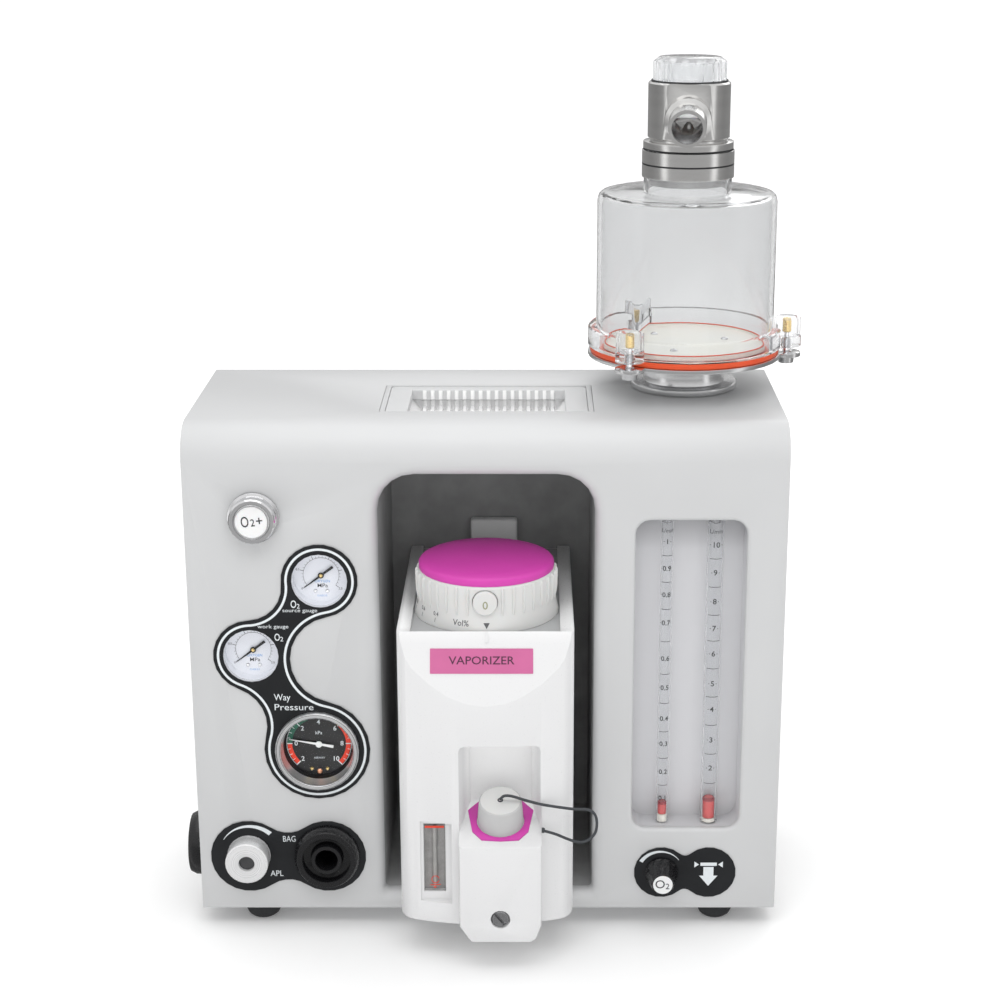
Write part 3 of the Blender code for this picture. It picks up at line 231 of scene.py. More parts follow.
# The other looks
OTHERS = {
    "clear_cap": ((0.82, 0.83, 0.84), 0.06, 120, 900, 0.03, 0.04, 10,
        dict(Transmission_Weight=0.85, IOR=1.36, Coat_Weight=0.6, Coat_Roughness=0.06)),
    "clear_knob": ((0.9, 0.905, 0.92), 0.05, 120, 900, 0.03, 0.03, 10,
        dict(Transmission_Weight=0.92, IOR=1.1, **COAT)),
    "lens_glass": ((0.985, 0.985, 0.985), 0.02, 30, 200, 0.004, 0.01, 3,
        dict(Transmission_Weight=1.0, IOR=1.06)),
    "tube_glass": ((0.975, 0.98, 0.985), 0.02, 30, 200, 0.004, 0.01, 3,
        dict(Transmission_Weight=1.0, IOR=1.1, **COAT)),
    "pink_label": ((0.56, 0.128, 0.3), 0.42, 60, 2200, 0.03, 0.05, 20),
    "dial_black": ((0.01, 0.01, 0.011), 0.45, 90, 2500, 0.15, 0.06, 20),
    "cream_plate": ((0.8, 0.79, 0.71), 0.34, 30, 1800, 0.02, 0.06, 20, dict(Coat_Weight=0.2),
        (0.82, 0.82, 0.77)),
    "cream_stop": ((0.84, 0.81, 0.74), 0.4, 120, 1800, 0.03, 0.06, 20),
    "grey_deck": ((0.42, 0.425, 0.43), 0.45, 30, 1500, 0.02, 0.06, 20),
    "sight_grey": ((0.26, 0.255, 0.25), 0.4, 220, 1800, 0.12, 0.08, 30, dict(Metallic=0.3)),
    "lanyard_rubber": ((0.045, 0.05, 0.056), 0.48, 200, 2400, 0.12, 0.08, 30),
    "socket_black": ((0.055, 0.055, 0.058), 0.55, 160, 2000, 0.12, 0.1, 30),
    # Near-white paint: painted light for the silver-painted ribs in the handle's shaded well; on the
    # vaporizer mount, its pale colour made lighter still as painted light against the bay's shade
    "pale_paint_and_painted_light": ((0.92, 0.92, 0.92), 0.45, 12, 2600, 0.012, 0.05, 20),
    # Handle tray: a darker copy of the silver paint, with painted light inside the well below its rim (set
    # further down)
    "tray_painted_light": ((0.555, 0.56, 0.565), *SLOTS["silver_paint"][1:]),
    # Flow window's back, with painted shade darkening it near its top and bottom (set further down)
    "window_painted_shade": ((0.64, 0.64, 0.66), 0.34, 12, 1800, 0.012, 0.05, 30, dict(Coat_Weight=0.15)),
    # Vaporizer body's enamel, with painted light further back (set further down)
    "vaporizer_painted_light": ((0.73, 0.73, 0.735), 0.3, 14, 900, 0.006, 0.04, 10,
        dict(Coat_Weight=0.25)),
    # Filler cap's side: painted shade, a darker copy of the dial plastic
    "filler_painted_shade": ((0.5, 0.5, 0.5), 0.4, 20, 1800, 0.012, 0.05, 20),
    # Dark steel: painted shade, a darker copy of the bright metals for the drain screw in its recess and for
    # the sleeve inside the port
    "steel_painted_shade": ((0.4, 0.4, 0.41), 0.22, 160, 1500, 0.08, 0.08, 10, METAL),
    "level_grey": ((0.33, 0.325, 0.315), 0.4, 220, 1800, 0.08, 0.08, 20),
    "float_rim": ((0.3, 0.018, 0.03), 0.28, 200, 2500, 0.1, 0.06, 20, dict(Coat_Weight=0.4)),
    "copper": ((0.62, 0.3, 0.18), 0.28, 120, 1500, 0.08, 0.08, 20, METAL),
}
# Printing inks: colour, roughness, spread of the colour
INKS = {
    "white_print": ((0.72, 0.76, 0.78), 0.45, 0.03),
    "black_print": ((0.035, 0.036, 0.04), 0.5, 0.1),
    "grey_print": ((0.1, 0.102, 0.11), 0.5, 0.08),
    "dark_grey_print": ((0.1, 0.1, 0.105), 0.5, 0.08),
    "olive_print": ((0.3, 0.31, 0.2), 0.5, 0.08),
    "blue_print": ((0.1, 0.3, 0.62), 0.45, 0.06),
    "red_print": ((0.8, 0.05, 0.018), 0.45, 0.06),
    "green_print": ((0.012, 0.11, 0.065), 0.45, 0.06),
    "yellow_print": ((0.55, 0.36, 0.03), 0.45, 0.06),
    "label_ink": ((0.085, 0.022, 0.055), 0.5, 0.08),
}
for ink_name, (colour, roughness, spread) in INKS.items():
    OTHERS[ink_name] = (colour, roughness, 300, 3000, spread, 0.05, 10)
LOOKS = {name: surface(name + "_look", *finish) for name, finish in (SLOTS | OTHERS).items()}
LOOKS["turned_aluminium"].name = "bright_aluminium_look"

Z_AXIS = (0.0, 0.0, 1.0)
Y_AXIS = (0.0, 1.0, 0.0)
CANISTER = at(*ABSORBER, 0)
lathe("valve_metal", (0.72, 0.715, 0.705), 0.2, CANISTER, Z_AXIS, 0.04, 0.04, 3)
lathe("base_metal", (0.74, 0.74, 0.745), 0.2, CANISTER, Z_AXIS)
lathe("gauge_metal", (0.88, 0.88, 0.885), 0.34, at(AIRWAY_GAUGE[0], 0, AIRWAY_GAUGE[1]), Y_AXIS, 0.03,
    metallic=0.9)
lathe("knob_metal", (0.86, 0.86, 0.865), 0.3, at(APL[0], 0, APL[1]), Y_AXIS, 0.05, metallic=0.45)
# Painted light: the tray's paint turns near white below its rim, inside the handle's well, where the well
# lies in shade
graded("tray_painted_light", 0.3634, 0.362, (0.92, 0.92, 0.92))
# Painted shade: the window's back darkens towards its top and its bottom, where the edges of its recess shade
# it
graded("window_painted_shade", 0.27, 0.301, (0.32, 0.32, 0.335))
graded("window_painted_shade", 0.076, 0.06, (0.52, 0.52, 0.535))
# Painted light: the vaporizer's enamel turns lighter a little behind its front face, so the recessed pocket,
# and the body further back, look lit
graded("vaporizer_painted_light", -0.047, -0.036, (0.96, 0.96, 0.96), "Y")


def smooth_group(name, facet=None):
    """Node group that shades a mesh smooth between sharp edges, and sharp round one facet if given."""
    group = bpy.data.node_groups.new(name, "GeometryNodeTree")
    group.interface.new_socket("Geometry", in_out="INPUT", socket_type="NodeSocketGeometry")
    group.interface.new_socket("Geometry", in_out="OUTPUT", socket_type="NodeSocketGeometry")
    start = node(group, "NodeGroupInput")
    plain = node(group, "GeometryNodeRemoveAttribute",
        [("Geometry", start.outputs[0]), ("Name", "custom_normal")])
    angle = node(group, "GeometryNodeInputMeshEdgeAngle")
    gentle = node(group, "FunctionNodeCompare", [(0, angle.outputs[0]), (1, radians(34))],
        data_type="FLOAT", operation="LESS_THAN").outputs[0]
    if facet:
        normal = node(group, "GeometryNodeInputNormal").outputs[0]
        match = vector(group, "DOT_PRODUCT", normal, facet)
        flag = shade(group, "Math", [(0, match.outputs["Value"]), (1, 0.9995)], operation="GREATER_THAN")
        on_face = node(group, "GeometryNodeFieldOnDomain", [(0, flag.outputs[0])], domain="FACE")
        on_edge = node(group, "GeometryNodeFieldOnDomain", [(0, on_face.outputs[0])], domain="EDGE")
        border = shade(group, "Math", [(0, on_edge.outputs[0]), (1, 0.5), (2, 0.3)], operation="COMPARE")
        gentle = shade(group, "Math", [(0, gentle), (1, border.outputs[0])], operation="SUBTRACT").outputs[0]
    faces = node(group, "GeometryNodeSetShadeSmooth", [(0, plain.outputs[0])], domain="FACE")
    edges = node(group, "GeometryNodeSetShadeSmooth", [(0, faces.outputs[0]), ("Shade Smooth", gentle)],
        domain="EDGE")
    node(group, "NodeGroupOutput", [(0, edges.outputs[0])])
    return group


SMOOTH = smooth_group("smooth_turns")
FOREHEAD_TILT = radians(17.5)
SMOOTH_FACET = smooth_group("smooth_forehead", (0.0, -cos(FOREHEAD_TILT), sin(FOREHEAD_TILT)))


def polish(target, edge=0.0, shading=SMOOTH):
    """Weld the split corners, round the sharp edges a little and shade the turns smooth."""
    weld = target.modifiers.new("weld", "WELD")
    weld.merge_threshold = 0.000002
    if edge:
        flat = target.modifiers.new("flat", "DECIMATE")
        flat.decimate_type = "DISSOLVE"
        flat.angle_limit = radians(0.4)
        bevel = target.modifiers.new("edges", "BEVEL")
        bevel.width = edge
        bevel.segments = 2
        bevel.limit_method = "ANGLE"
        bevel.angle_limit = radians(40)
    target.modifiers.new("smooth", "NODES").node_group = shading


# Camera, at the photograph's angle

camera_data = bpy.data.cameras.new("studio_camera")
camera_data.lens = 73.4
camera_data.sensor_width = 36.0
camera_data.shift_x = -0.032
camera = put("studio_camera", camera_data)
camera.location = at(0.032, -1.3497, 0.7208)
camera.rotation_euler = (radians(73.2), 0, 0)
bpy.context.scene.camera = camera


# The filler cap's lanyard

LANYARD_RADIUS = 0.001
LANYARD_ROUTE = [
    (0.01, -0.058, 0.1144), (0.0128, -0.06, 0.1178), (0.018, -0.06, 0.1176),
    (0.026, -0.059, 0.1145), (0.0353, -0.0585, 0.1115), (0.0434, -0.058, 0.1095),
    (0.06, -0.0575, 0.1068), (0.0705, -0.0575, 0.1062), (0.0755, -0.0575, 0.1028),
    (0.0771, -0.0575, 0.0962), (0.0759, -0.0575, 0.0884), (0.0708, -0.0578, 0.083),
    (0.0647, -0.058, 0.0817), (0.0576, -0.0585, 0.084), (0.0484, -0.06, 0.0888),
    (0.039, -0.061, 0.0922)]


def smooth_route(points, each):
    """Points along a Catmull-Rom curve through the given points, so many to a stretch."""
    padded = [points[0]] + points + [points[-1]]
    route = []
    for before, start, end, after in zip(padded, padded[1:], padded[2:], padded[3:]):
        for k in range(each):
            t = k / each
            route.append(tuple(0.5 * (2 * b + (c - a) * t + (2 * a - 5 * b + 4 * c - d) * t ** 2
                + (3 * b - a - 3 * c + d) * t ** 3) for a, b, c, d in zip(before, start, end, after)))
    return route + [points[-1]]


def cap_lanyard():
    """Rubber cord from the filler cap, round its loop, to the filler block."""
    data = bpy.data.curves.new("lanyard_cord", "CURVE")
    data.dimensions = "3D"
    data.bevel_depth = LANYARD_RADIUS
    data.bevel_resolution = 4
    data.use_fill_caps = True
    route = smooth_route(LANYARD_ROUTE, 4)
    spline = data.splines.new("POLY")
    spline.points.add(len(route) - 1)
    for point, where in zip(spline.points, route):
        point.co = (*at(*where), 1)
    spline.use_smooth = True
    data.materials.append(LOOKS["lanyard_rubber"])
    cord = put("lanyard_cord", data)
    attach(cord, "machine")
    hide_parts("cap_lanyard")


cap_lanyard()


# Mesh makers

def turned_outward(name, work):
    """Mesh made from a bmesh, its faces turned outward."""
    bmesh.ops.recalc_face_normals(work, faces=work.faces)
    mesh = bpy.data.meshes.new(name)
    work.to_mesh(mesh)
    work.free()
    return mesh


def piece(name, work, look, body="machine", slot=None, smooth=True, replaces=()):
    """Put a bmesh in the scene as a piece that rides on a body, with a look. The slot is not used."""
    made = put(name, turned_outward(name, work))
    made.data.materials.append(LOOKS[look])
    if smooth:
        polish(made)
    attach(made, body)
    slot = slot or (look if look in SLOTS else None)
    if replaces:
        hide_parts(*replaces)


def spin(work, profile, centre, facing=UP, steps=64, closed=False):
    """Add a turned solid to a bmesh: (radius, height) points about the facing's own Z."""
    rows = []
    for radius, height in profile:
        rows.append([work.verts.new(centre + facing @ Vector((
            radius * cos(2 * pi * k / steps), radius * sin(2 * pi * k / steps), height)))
            for k in range(steps if radius else 1)])
    pairs = list(zip(rows, rows[1:])) + ([(rows[-1], rows[0])] if closed else [])
    for one, two in pairs:
        for k in range(steps):
            after = (k + 1) % steps
            corners = [one[k % len(one)], one[after % len(one)], two[after % len(two)], two[k % len(two)]]
            corners = list(dict.fromkeys(corners))
            if len(corners) > 2:
                work.faces.new(corners)


def spun(name, profile, centre, look, body="machine", facing=UP, steps=64, closed=False, **extra):
    """One turned piece."""
    work = bmesh.new()
    spin(work, profile, centre, facing, steps, closed)
    piece(name, work, look, body, **extra)


def ring_section(radius, height, half_width, half_height, points=10):
    """Closed profile of a ring with a rounded section, such as an O-ring."""
    return [(radius + half_width * cos(2 * pi * k / points),
             height + half_height * sin(2 * pi * k / points)) for k in range(points)]


def raised_disc(radius, edge, height):
    """Profile of a thin disc with its rim cut back, half a millimetre above the given height."""
    return [(0, height + 0.0005), (radius - edge, height + 0.0005), (radius, height + 0.0002),
        (radius, height - 0.0002), (0, height - 0.0002)]


def block(work, low, high):
    """Add a box between two corners of the case's own frame to a bmesh."""
    for vert in bmesh.ops.create_cube(work, size=1)["verts"]:
        vert.co = at(*(low[i] if vert.co[i] < 0 else high[i] for i in range(3)))


def arc(centre, radius, start, end, steps):
    """Points of an arc in degrees, both ends included."""
    return [around(centre, radius, start + (end - start) * k / steps) for k in range(steps + 1)]


class Print:
    """Flat printing in one thin mesh: words, bars, arcs and outlines, in (u, v)."""

    def __init__(self, thickness=0.0001):
        self.work = bmesh.new()
        self.half = thickness / 2

    def prism(self, outline):
        """Filled outline."""
        front = [self.work.verts.new((u, v, self.half)) for u, v in outline]
        back = [self.work.verts.new((u, v, -self.half)) for u, v in outline]
        self.work.faces.new(front)
        self.work.faces.new(back[::-1])
        for k in range(len(outline)):
            after = (k + 1) % len(outline)
            self.work.faces.new((front[k], back[k], back[after], front[after]))

    def band(self, inner, outer, closed=False):
        """Strip between two matching lines of points."""
        rows = []
        for line in (inner, outer):
            for depth in (self.half, -self.half):
                rows.append([self.work.verts.new((u, v, depth)) for u, v in line])
        section = (rows[0], rows[2], rows[3], rows[1])
        count = len(inner)
        for k in range(count if closed else count - 1):
            after = (k + 1) % count
            for one, two in zip(section, section[1:] + section[:1]):
                self.work.faces.new((one[k], one[after], two[after], two[k]))
        if not closed:
            for k in (0, -1):
                self.work.faces.new([line[k] for line in section])

    def arc(self, centre, low, high, start, end, steps=32):
        """Part of a ring, its radii each a number or a pair from start to end."""
        lines = []
        for radius in (low, high):
            first, last = radius if isinstance(radius, tuple) else (radius, radius)
            line = []
            for k in range(steps + 1):
                share = k / steps
                size = first + (last - first) * share
                line.append(around(centre, size, start + (end - start) * share))
            lines.append(line)
        self.band(*lines)

    def bar(self, start, end, width):
        """Straight stroke."""
        along = Vector((end[0] - start[0], end[1] - start[1])).normalized() * width / 2
        side = Vector((-along.y, along.x))
        self.prism([(start[0] + side.x, start[1] + side.y), (start[0] - side.x, start[1] - side.y),
                    (end[0] - side.x, end[1] - side.y), (end[0] + side.x, end[1] + side.y)])

    def rule(self, half, height, width, steps=10):
        """Level stroke of many short lengths, which can follow a round surface."""
        line = [-half + 2 * half * k / steps for k in range(steps + 1)]
        self.band([(u, height - width / 2) for u in line], [(u, height + width / 2) for u in line])

    def tick(self, centre, low, high, angle, width):
        """Stroke that points away from a centre."""
        self.bar(around(centre, low, angle), around(centre, high, angle), width)

    def word(self, text, centre, height, stretch=1.0, turn=0.0, weight=0.0):
        """Centred word, its capitals of the given height."""
        data = bpy.data.curves.new("word", "FONT")
        data.body = text
        data.size = height / 0.73
        data.align_x = "CENTER"
        data.align_y = "CENTER"
        data.extrude = self.half
        data.offset = weight
        data.resolution_u = 3
        made = put("word", data)
        bpy.context.view_layer.update()
        mesh = bpy.data.meshes.new_from_object(made.evaluated_get(bpy.context.evaluated_depsgraph_get()))
        rotation = Matrix.Rotation(turn, 3, "Z")
        for vert in mesh.vertices:
            vert.co = rotation @ Vector((vert.co.x * stretch, vert.co.y, vert.co.z)) + Vector((*centre, 0))
        self.work.from_mesh(mesh)
        bpy.data.objects.remove(made)

    def done(self, name, look, place, body="machine"):
        """Put the printing on its surface: place turns (u, v, outward) into a point."""
        for vert in self.work.verts:
            vert.co = place(*vert.co)
        bmesh.ops.remove_doubles(self.work, verts=self.work.verts, dist=1e-7)
        piece(name, self.work, look, body, smooth=False)


def on_front(depth):
    """Place on a plane that faces the front, at a depth behind the front panel."""
    return lambda u, v, w: at(u, depth - w, v)


# Printed films on the front panel

def angle_to(origin, target):
    """Direction of one point from another, in degrees."""
    return degrees(atan2(target[1] - origin[1], target[0] - origin[0]))


def lobed_outline(lobes, fillets, inset, step=4):
    """Outline of round lobes joined by hollow arcs, drawn in by an inset."""
    lobes = [(x, y, radius - inset) for x, y, radius in lobes]
    fillets = [fillet + inset for fillet in fillets]
    hollows = []
    for number, fillet in enumerate(fillets):
        x0, y0, r0 = lobes[number]
        x1, y1, r1 = lobes[(number + 1) % len(lobes)]
        span = hypot(x1 - x0, y1 - y0)
        along = ((r0 + fillet) ** 2 - (r1 + fillet) ** 2 + span ** 2) / (2 * span)
        aside = sqrt((r0 + fillet) ** 2 - along ** 2)
        ux, uy = (x1 - x0) / span, (y1 - y0) / span
        hollows.append((x0 + ux * along + uy * aside, y0 + uy * along - ux * aside))
    points = []
    for number, (x, y, radius) in enumerate(lobes):
        start = angle_to((x, y), hollows[number - 1])
        end = angle_to((x, y), hollows[number])
        end += 360 if end < start else 0
        points += arc((x, y), radius, start, end, max(2, round((end - start) / step)))
        after = lobes[(number + 1) % len(lobes)]
        start = angle_to(hollows[number], (x, y))
        end = angle_to(hollows[number], after)
        end -= 360 if end > start else 0
        steps = max(2, round((start - end) / step))
        points += arc(hollows[number], fillets[number], start, end, steps)[1:-1]
    return points


def film_prints():
    """White line, words and signs on the three films."""
    lobes = [(*SOURCE_GAUGE, 0.027), (*WORK_GAUGE, 0.0267), (*AIRWAY_GAUGE, 0.038)]
    fillets = (0.0252, 0.03, 0.0328)
    ink = Print()
    ink.band(lobed_outline(lobes, fillets, 0.0044), lobed_outline(lobes, fillets, 0.0027), True)
    for row in (("O", (-0.1355, 0.2368), 0.0058, 0.66, 0.0, 0.00008), ("2", (-0.1322, 0.2354), 0.0036),
            ("source gauge", (-0.1312, 0.2324), 0.0028, 1.22),
            ("work gauge", (-0.1504, 0.2203), 0.0028, 1.22),
            ("O", (-0.1478, 0.2121), 0.0056, 0.66, 0.0, 0.00008), ("2", (-0.1446, 0.2108), 0.0036),
            ("Way", (-0.1459, 0.1666), 0.0052, 0.86), ("Pressure", (-0.1378, 0.159), 0.005, 1.18)):
        ink.word(*row)
    ink.done("gauge_film_print", "white_print", on_front(FILM_FRONT))
    ink = Print()
    ink.word("BAG", (-0.1446, 0.0558), 0.0048, 0.76)
    ink.word("APL", (-0.1545, 0.0281), 0.0047, 0.88)
    ink.arc(APL, (0.0216, 0.0212), (0.0219, 0.0246), 147, 46)
    ink.done("valve_film_print", "white_print", on_front(FILM_FRONT))
    ink = Print()
    ink.arc(FLOW_VALVE, (0.0158, 0.016), (0.0186, 0.0163), 150, 38)
    x, z = FLOW_SIGN
    for outline in (
            ((-0.006, 0.0079), (-0.006, 0.0053), (0.006, 0.0053), (0.006, 0.0079)),
            ((-0.0037, 0.0044), (-0.0037, -0.0026), (-0.0067, -0.0026), (0.0, -0.0108), (0.0067, -0.0026),
             (0.0037, -0.0026), (0.0037, 0.0044)),
            ((-0.0104, 0.0088), (-0.0104, 0.004), (-0.007, 0.0064)),
            ((0.0104, 0.0088), (0.0104, 0.004), (0.007, 0.0064))):
        ink.prism([(x + u, z + v) for u, v in outline])
    ink.done("flow_film_print", "white_print", on_front(FILM_FRONT))


film_prints()


# Gauges

def dial_screws(name, centre, apart, below, look, profile):
    """Two screws low on a gauge's dial."""
    x, y, z = centre
    work = bmesh.new()
    for side in (-1, 1):
        spin(work, profile, at(x + side * apart, y, z - below), FRONT, 20)
    piece(f"{name}_gauge_screws", work, look)


def small_gauge(name, centre):
    """Scale, dial screws and needle's hub of a small pressure gauge."""
    x, z = centre
    ink = Print()
    low, high = -37.0, 217.0
    ink.arc(centre, 0.01235, 0.01255, low, high, 48)
    for k in range(26):
        outer, width = (0.015, 0.00032) if k % 5 == 0 else (0.0136, 0.00016)
        ink.tick(centre, 0.01255, outer, high + (low - high) * k / 25, width)
    for k in range(6):
        ink.word(f"{k * 0.5:g}", around(centre, 0.0167, high + (low - high) * k / 5), 0.0016)
    ink.word("MPa", (x + 0.0008, z - 0.0079), 0.0029, 1.1, weight=0.00001)
    ink.done(f"{name}_gauge_scale", "black_print", on_front(SMALL_FACE - 0.00008))
    ink = Print()
    ink.word("OXYGEN", (x + 0.0008, z - 0.0047), 0.0019)
    ink.word("CLASS 2.5", (x + 0.0004, z - 0.0152), 0.0012)
    ink.done(f"{name}_gauge_words", "blue_print", on_front(SMALL_FACE - 0.00008))
    dial_screws(name, (x, SMALL_FACE, z), 0.0042, 0.0117, "chrome",
        [(0, 0.001), (0.0009, 0.00095), (0.0014, 0.0004), (0.0015, 0.00005), (0, 0.00005)])
    spun(f"{name}_gauge_hub",
        [(0, 0.003), (0.0008, 0.0029), (0.0013, 0.0024), (0.0014, 0.002), (0, 0.002)],
        at(x, SMALL_FACE, z), "brass", f"{name}_needle", FRONT, 24)


small_gauge("source", SOURCE_GAUGE)
small_gauge("work", WORK_GAUGE)


def airway_gauge():
    """Dial, coloured scale, numbers, screws and hub of the airway gauge."""
    x, z = AIRWAY_GAUGE
    face = at(x, AIRWAY_FACE, z)
    spun("airway_gauge_dial",
        [(0, 0.00045), (0.0236, 0.00045), (0.0238, 0.0003), (0.0238, 0.00005), (0, 0.00005)],
        face, "dial_black", "machine", FRONT, 72)
    spun("airway_gauge_wall", [(0.0238, -0.0113), (0.0239, -0.0113), (0.0249, -0.0056), (0.0248, -0.0056)],
        at(x, 0, z), "dial_black", "machine", FRONT, 72, closed=True)
    for number, (radius, height) in enumerate(((0.0267, 0.0057), (0.029, 0.0057), (0.03, 0.0036)), 1):
        spun(f"airway_gauge_line_{number}", ring_section(radius, height, 0.0002, 0.0002), at(x, 0, z),
            "grey_print", "machine", FRONT, 96, closed=True)
    paper = AIRWAY_FACE - 0.00052

    def turn(value):
        return 180 - 22.5 * value
    for colour, spans in (("red", ((-2, 0, 24), (6, 10, 24))), ("green", ((0, 3, 24),)),
            ("yellow", ((5.4, 6, 8),))):
        ink = Print()
        for low, high, steps in spans:
            ink.arc(AIRWAY_GAUGE, 0.0192, 0.0224, turn(low), turn(high), steps)
        ink.done(f"airway_scale_{colour}", f"{colour}_print", on_front(paper))
    ink = Print()
    ink.arc(AIRWAY_GAUGE, 0.0228, 0.0231, turn(-2), turn(10), 72)
    for k in range(25):
        inner, width = (0.0189, 0.0007) if k % 4 == 0 else (0.0207, 0.00035)
        ink.tick(AIRWAY_GAUGE, inner, 0.0231, turn(-2 + k * 0.5), width)
    for value in range(-2, 11, 2):
        size = 0.0163 if value not in (-2, 10) else 0.0166
        ink.word(str(abs(value)), around(AIRWAY_GAUGE, size, turn(value)), 0.0036, weight=0.00004)
    ink.word("kPa", (x, z + 0.0082), 0.0026)
    ink.word("AIRWAY", (x, z - 0.011), 0.0015)
    ink.done("airway_scale_white", "white_print", on_front(paper - 0.00011))
    dial_screws("airway", (x, paper, z), 0.0056, 0.0192, "brass",
        [(0, 0.0012), (0.0008, 0.0011), (0.0013, 0.0005), (0.0014, 0.0), (0, 0.0)])
    spun("airway_gauge_adjuster", [(0, 0.0016), (0.0012, 0.0015), (0.0019, 0.0009), (0.002, 0.0), (0, 0.0)],
        at(x, paper, z - 0.0212), "copper", "machine", FRONT, 24)
    spun("airway_gauge_hub", [(0, 0.0032), (0.0014, 0.0031), (0.0023, 0.0026), (0.0024, 0.0022), (0, 0.0022)],
        face, "white_plastic", "airway_needle", FRONT, 28)


airway_gauge()


# Flush button, relief valve and flow knob

def front_controls():
    """Words on the flush button and flow knob, and the relief knob's dark socket."""
    x, z = FLUSH
    ink = Print()
    for sign, u, v, height, stretch in (("O", -0.0046, -0.0004, 0.008, 0.66),
            ("2", 0.0008, -0.0008, 0.0054, 0.84), ("+", 0.0054, 0.0004, 0.0068, 0.95)):
        ink.word(sign, (x + u, z + v), height, stretch, 0.1, 0.00006)
    ink.done("flush_button_word", "black_print", on_front(-0.01206), "flush")
    spun("flush_button_ring", [(0.011, 0.0126), (0.0114, 0.0129), (0.012, 0.0129), (0.0124, 0.0126),
        (0.0124, 0.0124), (0.011, 0.0124)], at(x, 0, z), "chrome", "flush", FRONT, 56, closed=True)
    x, z = FLOW_VALVE
    tip = 0.0203
    spun("flow_knob_label", raised_disc(0.0071, 0.0003, tip), at(x, 0, z), "white_plastic", "flow_control",
        FRONT, 48)
    ink = Print()
    ink.word("O", (x - 0.002, z + 0.0004), 0.0068)
    ink.word("2", (x + 0.0034, z - 0.0012), 0.0046)
    ink.done("flow_knob_word", "black_print", on_front(-tip - 0.00056), "flow_control")
    x, z = APL
    depth = 0.0129
    spun("apl_socket", [(0, depth), (0.0054, depth), (0.0057, depth + 0.0006), (0.0057, depth - 0.0003),
        (0, depth - 0.0003)], at(x, 0, z), "socket_black", "apl", FRONT, 40)


front_controls()


# Flow tubes

TUBE_LOW = 0.0638
TUBE_HIGH = 0.2977


def flow_tube(name, x, outer, inner, labels, marks, height, rule, unit_z):
    """Clear tube with its printed scale, the float's dark rim and its stop."""
    float_low, float_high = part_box(f"{name}_float")
    axis = at(x, TUBE_Y, 0)
    profile = [(inner, TUBE_LOW + 0.0003), (inner, TUBE_HIGH - 0.004), (inner * 0.5, TUBE_HIGH - 0.004),
        (inner * 0.5, TUBE_HIGH), (outer - 0.0003, TUBE_HIGH), (outer, TUBE_HIGH - 0.0003),
        (outer, TUBE_LOW + 0.0003), (outer - 0.0003, TUBE_LOW)]
    spun(f"{name}_glass", profile, axis, "tube_glass", steps=56, closed=True,
        slot="clear_acrylic", replaces=(f"{name}_tube",))
    stop = inner - 0.0002
    top = float_low.z - ORIGIN.z - 0.0002
    spun(f"{name}_stop", [(0, top), (stop - 0.0004, top), (stop, top - 0.0005), (stop, TUBE_LOW + 0.0006),
        (0, TUBE_LOW + 0.0006)], axis, "cream_stop", steps=40)
    radius = (float_high.x - float_low.x) / 2
    rim = float_high.z - ORIGIN.z
    profile = [(radius - 0.0002, rim - 0.0022), (radius + 0.00012, rim - 0.002),
        (radius + 0.00012, rim - 0.0006), (radius - 0.0006, rim + 0.0001), (radius - 0.0014, rim + 0.0001),
        (radius - 0.0014, rim - 0.0022)]
    spun(f"{name}_float_rim", profile, axis, "float_rim", name.split("_")[0] + "_float", steps=40,
        closed=True, slot="red_float")
    ink = Print(0.00006)
    for label, z in labels:
        ink.word(label, (0, z), height, 1.04, 0.0, 0.00008)
        reach = height * (0.55, 0.95, 1.02)[len(label) - 1]
        for side in (-1, 1):
            ink.bar((side * reach, z), (side * (reach + 0.0009), z), 0.00036)
    for z in marks:
        ink.rule(rule, z, 0.00042)
    ink.word("L/min", (0, unit_z), height * 0.8)
    size = outer + 0.00005

    def wrap(u, v, w):
        return at(x + (size + w) * sin(u / size), TUBE_Y - (size + w) * cos(u / size), v)
    ink.done(f"{name}_scale", "black_print", wrap)


flow_tube("low_flow", LOW_TUBE_X, 0.0044, 0.0037,
    (("1", 0.2799), ("0.9", 0.2599), ("0.8", 0.2403), ("0.7", 0.2192), ("0.6", 0.1921), ("0.5", 0.1698),
     ("0.4", 0.1459), ("0.3", 0.1263), ("0.2", 0.1043), ("0.1", 0.0835)),
    (0.2696, 0.2499, 0.2296, 0.2052, 0.1803, 0.1579, 0.1359, 0.1151, 0.0939), 0.0037, 0.0038, 0.2879)
flow_tube("high_flow", HIGH_TUBE_X, 0.0062, 0.0049,
    (("10", 0.2779), ("9", 0.2574), ("8", 0.2359), ("7", 0.2157), ("6", 0.1965), ("5", 0.1737),
     ("4", 0.1539), ("3", 0.1302), ("2", 0.1082)),
    (0.2678, 0.2468, 0.2258, 0.2064, 0.1853, 0.1636, 0.1417, 0.1192, 0.0962), 0.0041, 0.0046, 0.2878)


# Vaporizer

def dial_radius(height):
    """Radius of the control dial's side at a height above the deck."""
    line = ((0.0012, 0.0508), (0.0085, 0.0491), (0.014, 0.0485))
    for (low, start), (high, end) in zip(line, line[1:]):
        if height < high:
            return start + (end - start) * (max(height, low) - low) / (high - low)
    return DIAL_SIDE


def on_dial_side(u, v, w):
    """Place on the dial's lower, flared side, following its radius."""
    size = dial_radius(v) + 0.00004 + w
    turn = u / 0.0498
    return at(size * sin(turn), DIAL_Y - size * cos(turn), DECK_Z + v)


# Grip rib: height, how far it stands out and half its width; then its section, as shares of those two
RIB_RINGS = ((0.0108, -0.0005, 0.0004), (0.013, 0.0006, 0.0008), (0.018, 0.0014, 0.001),
    (0.029, 0.0017, 0.0011), (0.0308, 0.0015, 0.001), (0.0318, 0.0006, 0.0006))
RIB_SECTION = ((-1.0, 0.0), (-0.8, 0.7), (-0.35, 0.98), (0.0, 1.0), (0.35, 0.98), (0.8, 0.7), (1.0, 0.0))
RIBS = 38
BUTTON_GAP = 14


